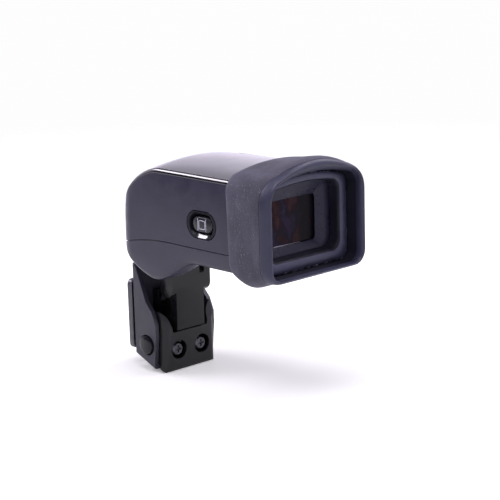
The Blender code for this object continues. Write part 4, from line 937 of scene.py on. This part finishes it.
def cup_ring(along, inset, lean=0.0):
    back = (along - LIP_RADIUS) / (CUP_DEPTH - LIP_RADIUS)
    inward = inset / SIDE_WALL
    bulge = CUP_SAG * math.sin(math.pi * min(max(back, 0), 1)) * (1 - inward)
    width = CUP_WIDTH - 2 * CUP_FLARE * back - 2 * inset
    top = CUP_TOP - CUP_RISE * back - TOP_WALL * inward
    arch = CUP_BACK_ARCH + CUP_ARCH_GAIN * (1 - back) * (1 - inward)
    bottom = CUP_BOTTOM + bulge - BOTTOM_WALL * inward
    corner = (CUP_BACK_CORNER + CUP_CORNER_GAIN * (1 - back)) * (1 - inward / 2)
    return cup_outline(along, width, top, arch, bottom, corner, CUP_LOW_CORNER * (1 - inward / 3), lean)


def bead_ring(along, share):
    """A ring of the raised bead, at a share of the way from the eyepiece's edge to the well's wall."""
    inner = cup_outline(along, RING_WIDTH, RING_TOP, BEAD_ARCH, RING_BOTTOM, BEAD_CORNER)
    outer = cup_ring(along, SIDE_WALL)
    return [tuple(near + (far - near) * share for near, far in zip(*pair)) for pair in zip(inner, outer)]


def sleeve_ring(along, lean):
    width = 2 * (half_width(along) - NECK_INSET + CLEAR)
    top = RIDGE_HEIGHT + CROWN - NECK_INSET + CLEAR
    bottom = UNDERSIDE_DEPTH - NECK_INSET / 2 + CLEAR
    return cup_outline(along, width, top, CROWN, bottom, RIDGE_RADIUS + CLEAR, KEEL_RADIUS + NECK_INSET,
                       lean)


def lip_ring(share, sunk=0.0):
    """A ring over the lip's roll: 0 is where the roll starts, 1 the crease and 2 the front edge.

    The crease lies further forward along the top edge than down the sides.
    """
    inset = SIDE_WALL * LIP_OUTER_SHARE
    points = []
    for index, (across, _, level) in enumerate(cup_ring(LIP_RADIUS, 0)):
        height = min(max((level - AXIS_HEIGHT) / CUP_TOP, 0), 1)
        inward = 1 - (2 * across / CUP_WIDTH) ** 4
        crease = CREASE_TURN + CREASE_GAIN * height ** 3 * max(inward, 0)
        turn = crease * share if share <= 1 else crease + (math.pi / 2 - crease) * (share - 1)
        along = LIP_RADIUS * (1 - math.sin(turn)) + sunk * math.sin(turn)
        points.append(cup_ring(along, inset * (1 - math.cos(turn)) + sunk * math.cos(turn))[index])
    return points


def cup_profile():
    """Rings round the hood's section, each with the finish of the faces that follow it."""
    skin, lip, well, bead, crease = range(5)
    rings = [(cup_ring(CUP_DEPTH, REAR_ROUND, CUP_LEAN), skin),
             (cup_ring(CUP_DEPTH - REAR_ROUND / 4, REAR_ROUND / 3, CUP_LEAN), skin),
             (cup_ring(CUP_DEPTH - REAR_ROUND, 0, CUP_LEAN), skin)]
    skin_steps, roll_steps, lip_steps, inner_steps, bead_steps = 14, 6, 14, 8, 16
    reach = CUP_DEPTH - REAR_ROUND - LIP_RADIUS
    for index in range(1, skin_steps + 1):
        share = index / skin_steps
        lean = CUP_LEAN * max(1 - 3 * share, 0)
        rings.append((cup_ring(CUP_DEPTH - REAR_ROUND - reach * share, 0, lean), skin))
    groove_share = 0.03
    rings += [(lip_ring(index / roll_steps), skin) for index in range(1, roll_steps)]
    rings += [(lip_ring(1 - groove_share), lip), (lip_ring(1, LIP_GROOVE), lip),
              (lip_ring(1 + groove_share), lip)]
    rings += [(lip_ring(1 + index / lip_steps), lip) for index in range(1, lip_steps + 1)]
    lip_inset = SIDE_WALL * LIP_OUTER_SHARE
    for index in range(1, inner_steps + 1):
        turn = math.pi / 2 * index / inner_steps
        inset = lip_inset + (SIDE_WALL - lip_inset) * math.sin(turn)
        finish = lip if index < inner_steps else well
        rings.append((cup_ring(LIP_INNER * (1 - math.cos(turn)), inset), finish))
    rings += [(cup_ring((LIP_INNER + WELL_DEPTH) / 2, SIDE_WALL), well),
              (cup_ring(WELL_DEPTH - DUST_WIDTH, SIDE_WALL), crease),
              (cup_ring(WELL_DEPTH - LIP_GROOVE / 2, SIDE_WALL), crease)]
    for index in range(bead_steps + 1):
        turn = math.pi * index / bead_steps
        across = BEAD_FOOT_SHARE + (1 - BEAD_FOOT_SHARE) * (1 + math.cos(turn)) / 2
        depth = WELL_DEPTH - RING_RISE * math.sin(turn) ** BEAD_POWER
        # The bead's share towards the eyepiece gets the lighter finish as a painted lit band; the rest
        # gets the well's dark finish as painted shade.
        finish = crease if index < 4 else bead if index < bead_steps * BEAD_LIT_SHARE else well
        rings.append((bead_ring(depth, across), finish))
    return rings + [(bead_ring(FLANGE_DEPTH, 0), well), (sleeve_ring(FLANGE_DEPTH, 0), well),
                    (sleeve_ring(CUP_DEPTH, CUP_LEAN), well)]


def eyecup():
    """The hood again with a soft lip behind a crease, a rounded bead and a rounded rear edge."""
    rings = cup_profile()
    maker = loft([ring for ring, finish in rings], ring_shut=True)
    per_ring = len(rings[0][0])
    maker.faces.ensure_lookup_table()
    for number, face in enumerate(maker.faces):
        face.material_index = rings[number // per_ring][1]
    piece = finished("eyecup", maker, rubber_finish(), smooth=50)
    for finish in (shaded_lip_finish(), shaded_well_finish(), lit_bead_finish(), dusty_finish()):
        piece.data.materials.append(finish)
    return piece


def window_glint():
    """A pale strip, the painted highlight where light catches the glass's lower edge."""
    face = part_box("eyepiece_window")[0].y
    edge = middle("eyepiece_window")[2] - WINDOW_HEIGHT / 2
    outline = [(GLINT_START, edge), (GLINT_END, edge), (GLINT_START + GLINT_TALL, edge + GLINT_TALL)]
    return finished("window_glint", prism("Y", outline, face - GLINT_PROUD, face), painted_glint_finish())


# Head


def hinge_slot():
    outline = arc((PIVOT_Y, PIVOT_Z), SLOT_RADIUS, 0, 172, 20)
    back = RIM_Y + SLOT_START
    deep = AXIS_HEIGHT - HEAD_LENGTH / 2
    outline += [(back, PIVOT_Z + SLOT_ROOF), (back, deep), (PIVOT_Y + SLOT_RADIUS, deep)]
    return prism("X", outline, -SLOT_WIDTH / 2, SLOT_WIDTH / 2)


def upper_shell(material, gloss):
    wall = half_width(BUTTON_ALONG)
    bezel = obround(button_centre(), BEZEL_LENGTH + 2 * CLEAR, BEZEL_HEIGHT + 2 * CLEAR)
    low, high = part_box("dioptre_dial")
    recess = circle(middle("dioptre_dial")[1:], (high.y - low.y) / 2 + CLEAR, 48)
    maker = cut(head_body(), [half_space(True, CLEAR / 2), head_cavity(),
                              loft(panel_rings(RIDGE_RADIUS, PANEL_THICKNESS + CLEAR, CLEAR)),
                              prism("X", bezel, -HEAD_WIDTH, -wall / 2),
                              prism("X", recess, wall - SHELL_WALL, HEAD_WIDTH)])
    piece = finished("upper_shell", maker, material)
    piece.data.materials.append(gloss)
    for face in piece.data.polygons:
        along = min(max(face.center.y - RIM_Y, 0), HEAD_LENGTH)
        rim = rim_half(half_width(along), RIDGE_RADIUS)
        above = face.center.z - AXIS_HEIGHT - ridge(along) + RIDGE_RADIUS
        if abs(face.center.x) > rim and above > -CLEAR and along < FRONT_START + RIDGE_HEIGHT:
            face.material_index = 1
    return eased(piece, FINE_EDGE)


def lower_shell(material):
    bore = circle((PIVOT_Y, PIVOT_Z), PIN_BORE, 32)
    maker = cut(head_body(), [half_space(False, -CLEAR / 2), head_cavity(), hinge_slot(),
                              prism("X", bore, -PIN_REACH, PIN_REACH)])
    return eased(finished("lower_shell", maker, material), FINE_EDGE)


def seam_tongue(material):
    """A rib inside the walls behind the line where the shells meet, so that no light comes through."""
    start, straight = CUP_DEPTH + 2 * CLEAR, HEAD_LENGTH - PLAN_CORNER - TONGUE_BACK
    side_steps, corner_steps = 30, 10

    def path(inset):
        half = [(half_width(along) - inset, along) for along in spaced(start, straight, side_steps)]
        corner = (half_width(straight) - PLAN_CORNER, straight)
        half += arc(corner, PLAN_CORNER - inset, 0, 90, corner_steps)
        return half + [(-across, along) for across, along in reversed(half)]

    rings = []
    for outer, inner in zip(path(TONGUE_INSET), path(TONGUE_INSET + TONGUE_WIDTH)):
        ends = ((outer, -1), (outer, 1), (inner, 1), (inner, -1))
        rings.append([(across, RIM_Y + along, AXIS_HEIGHT - seam(along) + side * TONGUE_HEIGHT / 2)
                      for (across, along), side in ends])
    return finished("seam_tongue", loft(rings), material)


def ridge_edge(name, side, gloss):
    """A polished strip over the shell's upper edge, lofted along it so that its highlight runs evenly."""
    start = CUP_DEPTH + CUP_LEAN + 2 * CLEAR
    flat_steps, curved_steps, turn_steps = 12, 28, 8
    low_turn, high_turn = -20, 72
    lift, sunk = 0.03 * MM, 0.1 * MM
    places = spaced(start, FRONT_START, flat_steps)
    places += front_places(HEAD_LENGTH - FRONT_START, RIDGE_END_TURN, curved_steps)
    rings = []
    for along in places:
        centre = (rim_half(half_width(along), RIDGE_RADIUS), ridge(along) - RIDGE_RADIUS)
        outline = arc(centre, RIDGE_RADIUS + lift, low_turn, high_turn, turn_steps)
        outline += arc(centre, RIDGE_RADIUS - sunk, high_turn, low_turn, turn_steps)
        rings.append([(side * across, RIM_Y + along, AXIS_HEIGHT + height) for across, height in outline])
    return finished(name, loft(rings), gloss)


def top_panel(gloss):
    maker = loft(panel_rings(0, PANEL_THICKNESS, 0))
    return eased(finished("top_panel", maker, gloss), FINE_EDGE / 2)


# Display button


def button_surround(black, gloss):
    outer = -half_width(BUTTON_ALONG)
    inner = outer + BEZEL_DEPTH
    chamfer = BEZEL_DEPTH / 2
    lead_share, end_share = 0.92, 0.35
    centre = button_centre()

    def ring(length, height, x):
        return [(x, y, z) for y, z in obround(centre, length, height)]

    mouth = (BUTTON_LENGTH + 2 * CLEAR, BUTTON_HEIGHT + 2 * CLEAR)
    lead = (BEZEL_HEIGHT - mouth[1]) * lead_share
    rings = [ring(BEZEL_LENGTH, BEZEL_HEIGHT, inner), ring(BEZEL_LENGTH, BEZEL_HEIGHT, outer),
             ring(mouth[0] + lead * end_share, mouth[1] + lead, outer),
             ring(*mouth, outer + chamfer), ring(*mouth, inner)]
    piece = finished("button_surround", loft(rings, ring_shut=True), black)
    piece.data.materials.append(gloss)
    lead_band, per_ring = 2, len(rings[0])
    for number, face in enumerate(piece.data.polygons):
        below = face.center.z < centre[1] and abs(face.center.y - centre[0]) < BUTTON_HEIGHT / 2
        face.material_index = 1 if number // per_ring == lead_band and below else 0
    return eased(piece, FINE_EDGE / 3)


def button_mark():
    """A rounded frame between two upright bars: the usual sign for a display."""
    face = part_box("display_button")[0].x
    y, z = button_centre()
    line, gap, raised = 0.19 * MM, 0.2 * MM, 0.03 * MM
    width, height, corner = 1.2 * MM, 1.2 * MM, 0.45 * MM
    bar_share = 1.33

    def rounded(half_y, half_z, radius):
        outline = []
        for side_y, side_z, turn in ((1, -1, -90), (1, 1, 0), (-1, 1, 90), (-1, -1, 180)):
            centre = (y + side_y * (half_y - radius), z + side_z * (half_z - radius))
            outline += arc(centre, radius, turn, turn + 90, 6)
        return outline

    outer = rounded(width, height, corner)
    inner = rounded(width - line, height - line, corner / 2)
    top = face - raised
    rings = [[(x, *point) for point in outline]
             for outline, x in ((outer, face), (outer, top), (inner, top), (inner, face))]
    mark = loft(rings, ring_shut=True)
    for side in (-1, 1):
        near, far = y + side * (width + gap), y + side * (width + gap + line)
        low_end, high_end = z - height * bar_share, z + height * bar_share
        bar = [(near, low_end), (far, low_end), (far, high_end), (near, high_end)]
        prism("X", bar, top, face, mark)
    return finished("button_mark", mark, print_finish(), body="display_button")


# Base


def heel_line(y, lift):
    """Height of the base's slanting bottom wall at a place, raised by a thickness."""
    slope = (BASE_BOTTOM - BASE_HEEL) / (BASE_BACK - FOOT_DROP)
    return -BASE_HEEL + slope * (y + FOOT_DROP) + lift * math.sqrt(1 + slope ** 2)


def behind_cheeks():
    """Everything behind the cheeks' rear edges, which stand back from the cover."""
    outline = CHEEK_EDGE + [(BEHIND, CHEEK_EDGE[-1][1]), (BEHIND, CHEEK_EDGE[0][1])]
    return prism("X", outline, -HEAD_WIDTH, HEAD_WIDTH)


def notch_line(drop):
    """The right half of the cover's valley, across X and Z, lowered by a wall thickness."""
    lean_share = 0.3
    rise = COVER_TOP + NOTCH_BOTTOM
    return [(NOTCH_FOOT + NOTCH_FLARE * across + drop * lean_share, rise * up - NOTCH_BOTTOM - drop)
            for across, up in NOTCH_SHARES]


def rear_cover(material):
    """The cover again, standing proud of the cheeks with well rounded upright edges."""
    low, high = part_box("rear_cover")
    half = high.x
    inner = BASE_WALL + CLEAR
    heel = heel_line(-BASE_BACK, CLEAR)
    foot = [(-BASE_BACK, heel + COVER_ROUND / 2),
            (-BASE_BACK + COVER_ROUND / 3, heel + COVER_ROUND / 8),
            (-BASE_BACK + COVER_ROUND, heel_line(-BASE_BACK + COVER_ROUND, CLEAR))]
    side = [(-COVER_FRONT, COVER_TOP), (-COVER_LEAN_TOP, COVER_TOP), (-BASE_BACK, -BACK_TOP)] + foot
    side += [(-COVER_STEP, heel_line(-COVER_STEP, CLEAR)), (-COVER_STEP, heel_line(-COVER_STEP, inner)),
             (-COVER_FRONT, heel_line(-COVER_FRONT, inner))]
    cutters = []
    for turn, sign in ((180, -1), (270, 1)):
        centre = (sign * (half - COVER_ROUND), COVER_ROUND - BASE_BACK)
        corner = arc(centre, COVER_ROUND, turn, turn + 90, 10)
        near, far = (centre[0], BEHIND), (sign * (half + OVERRUN), centre[1])
        ends = [near, (far[0], near[1]), far][::-sign]
        cutters.append(prism("Z", corner + ends, -BASE_WIDTH, BASE_WIDTH))
    valley = notch_line(0)
    rim = [(BASE_WIDTH, BASE_WIDTH), (-BASE_WIDTH, BASE_WIDTH)]
    valley += rim + [(-x, z) for x, z in valley[::-1]]
    cutters.append(prism("Y", valley, BEHIND, OVERRUN))
    inner_half = half - COVER_WALL
    roof = [(x, z) for x, z in notch_line(COVER_WALL) if x < inner_half and z < 0] + [(inner_half, 0)]
    base_line = heel_line(-COVER_STEP + inner, inner + CLEAR)
    pocket = [(-inner_half, base_line), (inner_half, base_line)] + roof[::-1] + [(-x, z) for x, z in roof]
    cutters.append(prism("Y", pocket, -BASE_BACK + COVER_WALL, OVERRUN))
    for node in ("cover_screw_0", "cover_screw_1"):
        centre = middle(node)[::2]
        for radius, steps, end in ((SINK_RADIUS, 40, SINK_DEPTH - BASE_BACK), (SCREW_HOLE, 24, OVERRUN)):
            cutters.append(prism("Y", circle(centre, radius, steps), BEHIND, end))
    maker = cut(prism("X", side, -half, half), cutters)
    return eased(finished("rear_cover", maker, material), COVER_EDGE)


def lock_spring(material):
    """The lock pin's spring again, smooth shaded and with a mesh of its own."""
    piece = finished("lock_spring", solid_of("lock_spring"), material, smooth=80)
    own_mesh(piece)


# Scene


def floor():
    """A white floor that fades into the background and keeps the object's soft shadow."""
    bpy.ops.mesh.primitive_plane_add(size=FLOOR_SIZE, location=(0, 0, cad_box[0].z))
    plane = bpy.context.object
    plane.name = "floor"
    paint = Paint("floor_white", FLOOR_COLOUR, 0.5, specular=0.15)
    seen = add_node(paint.tree, "LightPath").outputs["Is Camera Ray"]
    paint.set("Emission Color", (1.0, 1.0, 1.0, 1.0))
    paint.link(paint.spread(seen, 0, FLOOR_LIFT, 0, 1), paint.shader.inputs["Emission Strength"])
    distance = add_node(paint.tree, "VectorMath")
    distance.operation = "LENGTH"
    paint.link(paint.place, distance.inputs[0])
    fade = paint.spread(distance.outputs["Value"], 0, 1, FLOOR_FADE, FLOOR_END)
    blend = add_node(paint.tree, "MixShader")
    paint.link(fade, blend.inputs["Fac"])
    paint.link(paint.shader.outputs["BSDF"], blend.inputs[1])
    paint.link(add_node(paint.tree, "BsdfTransparent").outputs["BSDF"], blend.inputs[2])
    paint.link(blend.outputs["Shader"], paint.tree.nodes["Material Output"].inputs["Surface"])
    plane.data.materials.append(paint.material)


def flag():
    """A dark card beside the set, unseen by the camera, that shapes the sheen on the head's side."""
    maker = bmesh.new()
    low = cad_box[0].z
    corners = [(*CARD_NEAR, low), (*CARD_FAR, low), (*CARD_FAR, CARD_TOP), (*CARD_NEAR, CARD_TOP)]
    maker.faces.new([maker.verts.new(corner) for corner in corners])
    card = loose("dark_card", maker)
    card.data.materials.append(moulded("dark_card_cloth", (0.01, 0.01, 0.012), 0.9, CLOTH_DEPTH))
    card.visible_camera = card.visible_shadow = card.visible_diffuse = False


def world():
    """White to the camera and through glass; a white backdrop under a darker ceiling in reflections."""
    made = bpy.data.worlds.new("studio")
    scene.world = made
    made.use_nodes = True
    tree = made.node_tree
    background = tree.nodes["Background"].inputs
    path = add_node(tree, "LightPath").outputs
    parts = add_node(tree, "SeparateXYZ")
    tree.links.new(add_node(tree, "TexCoord").outputs["Generated"], parts.inputs["Vector"])
    backdrop = map_range(tree, parts.outputs["Z"], BACKDROP, CEILING, BACKDROP_TOP, CEILING_START)
    strength = mixed(tree, path["Is Glossy Ray"], FILL, backdrop, "FLOAT")
    strength = mixed(tree, path["Is Transmission Ray"], strength, 1.0, "FLOAT")
    strength = mixed(tree, path["Is Camera Ray"], strength, 1.0, "FLOAT")
    tree.links.new(strength, background["Strength"])
    tree.links.new(mixed(tree, path["Is Camera Ray"], WORLD_TINT, WORLD_WHITE), background["Color"])


def lamp(name, place, size, power):
    data = bpy.data.lights.new(name, "AREA")
    data.shape = "RECTANGLE"
    data.size, data.size_y = size
    data.energy = power
    data.color = LIGHT_TINT
    made = linked(name, data)
    made.location = place
    made.rotation_euler = (Vector(LIGHT_AIM) - Vector(place)).to_track_quat("-Z", "Y").to_euler()


def camera():
    turn, dip, roll = map(math.radians, (CAMERA_TURN, CAMERA_DIP, CAMERA_ROLL))
    forward = Vector((math.sin(turn) * math.cos(dip), math.cos(turn) * math.cos(dip), -math.sin(dip)))
    level = Vector((math.cos(turn), -math.sin(turn), 0))
    down = forward.cross(level)
    right = level * math.cos(roll) + down * math.sin(roll)
    lowered = down * math.cos(roll) - level * math.sin(roll)
    data = bpy.data.cameras.new("camera")
    data.sensor_width = SENSOR
    data.lens = SENSOR * FOCAL_PIXELS / IMAGE_SIZE
    data.clip_start, data.clip_end = CLIP_NEAR, CLIP_FAR
    made = linked("camera", data)
    axes = Matrix((right, -lowered, -forward)).transposed().to_4x4()
    made.matrix_world = Matrix.Translation(CAMERA_PLACE) @ axes
    scene.camera = made


def dress_nodes():
    """The remaining solids: their own forms with eased edges, or only a finish where they hide."""
    black, steel, screw, base = black_finish(), steel_finish(), screw_finish(), base_finish()
    button = button_finish()
    refined("eyepiece_frame", funnel_finish())
    refined("eyepiece_window", window_finish())
    refined("display_button", button)
    refined("dioptre_dial", button, FINE_EDGE / 2)
    refined("hinge_arm", arm_finish(), 2 * FINE_EDGE)
    refined("base_shell", base, CHEEK_EDGE_ROUND, [behind_cheeks()])
    rear_cover(cover_finish())
    refined("release_button", release_finish(), RELEASE_ROUND)
    refined("foot_plate", foot_finish())
    refined("foot_neck", base)
    refined("contact_carrier", black)
    lock_spring(steel)
    plain = {"display_panel": display_finish(), "main_board": board_finish(), "flex_cable": flex_finish(),
             "contact_comb": gold_finish()}
    plain.update(dict.fromkeys(("lens_guide", "lens_carriage", "display_frame", "backlight"), black))
    plain.update(dict.fromkeys(("button_switch", "hinge_pin", "friction_washer", "lock_pin"), steel))
    plain.update(dict.fromkeys(("lens_front", "lens_back"), lens_finish()))
    plain.update({node: screw for node in frame["nodes"] if "screw" in node})
    for node, material in plain.items():
        mesh = frame["nodes"][node].data
        mesh.materials.clear()
        mesh.materials.append(material)


shell, gloss, dark = shell_finish(), panel_finish(), surround_finish()
upper_shell(shell, gloss)
lower_shell(shell)
seam_tongue(dark)
top_panel(gloss)
for name, side in (("ridge_edge_left", -1), ("ridge_edge_right", 1)):
    ridge_edge(name, side, gloss)
eyecup()
window_glint()
button_surround(dark, gloss)
button_mark()
dress_nodes()
floor()
world()
for name, settings in LAMPS.items():
    lamp(name, *settings)
flag()
camera()

scene.view_settings.view_transform = "Standard"
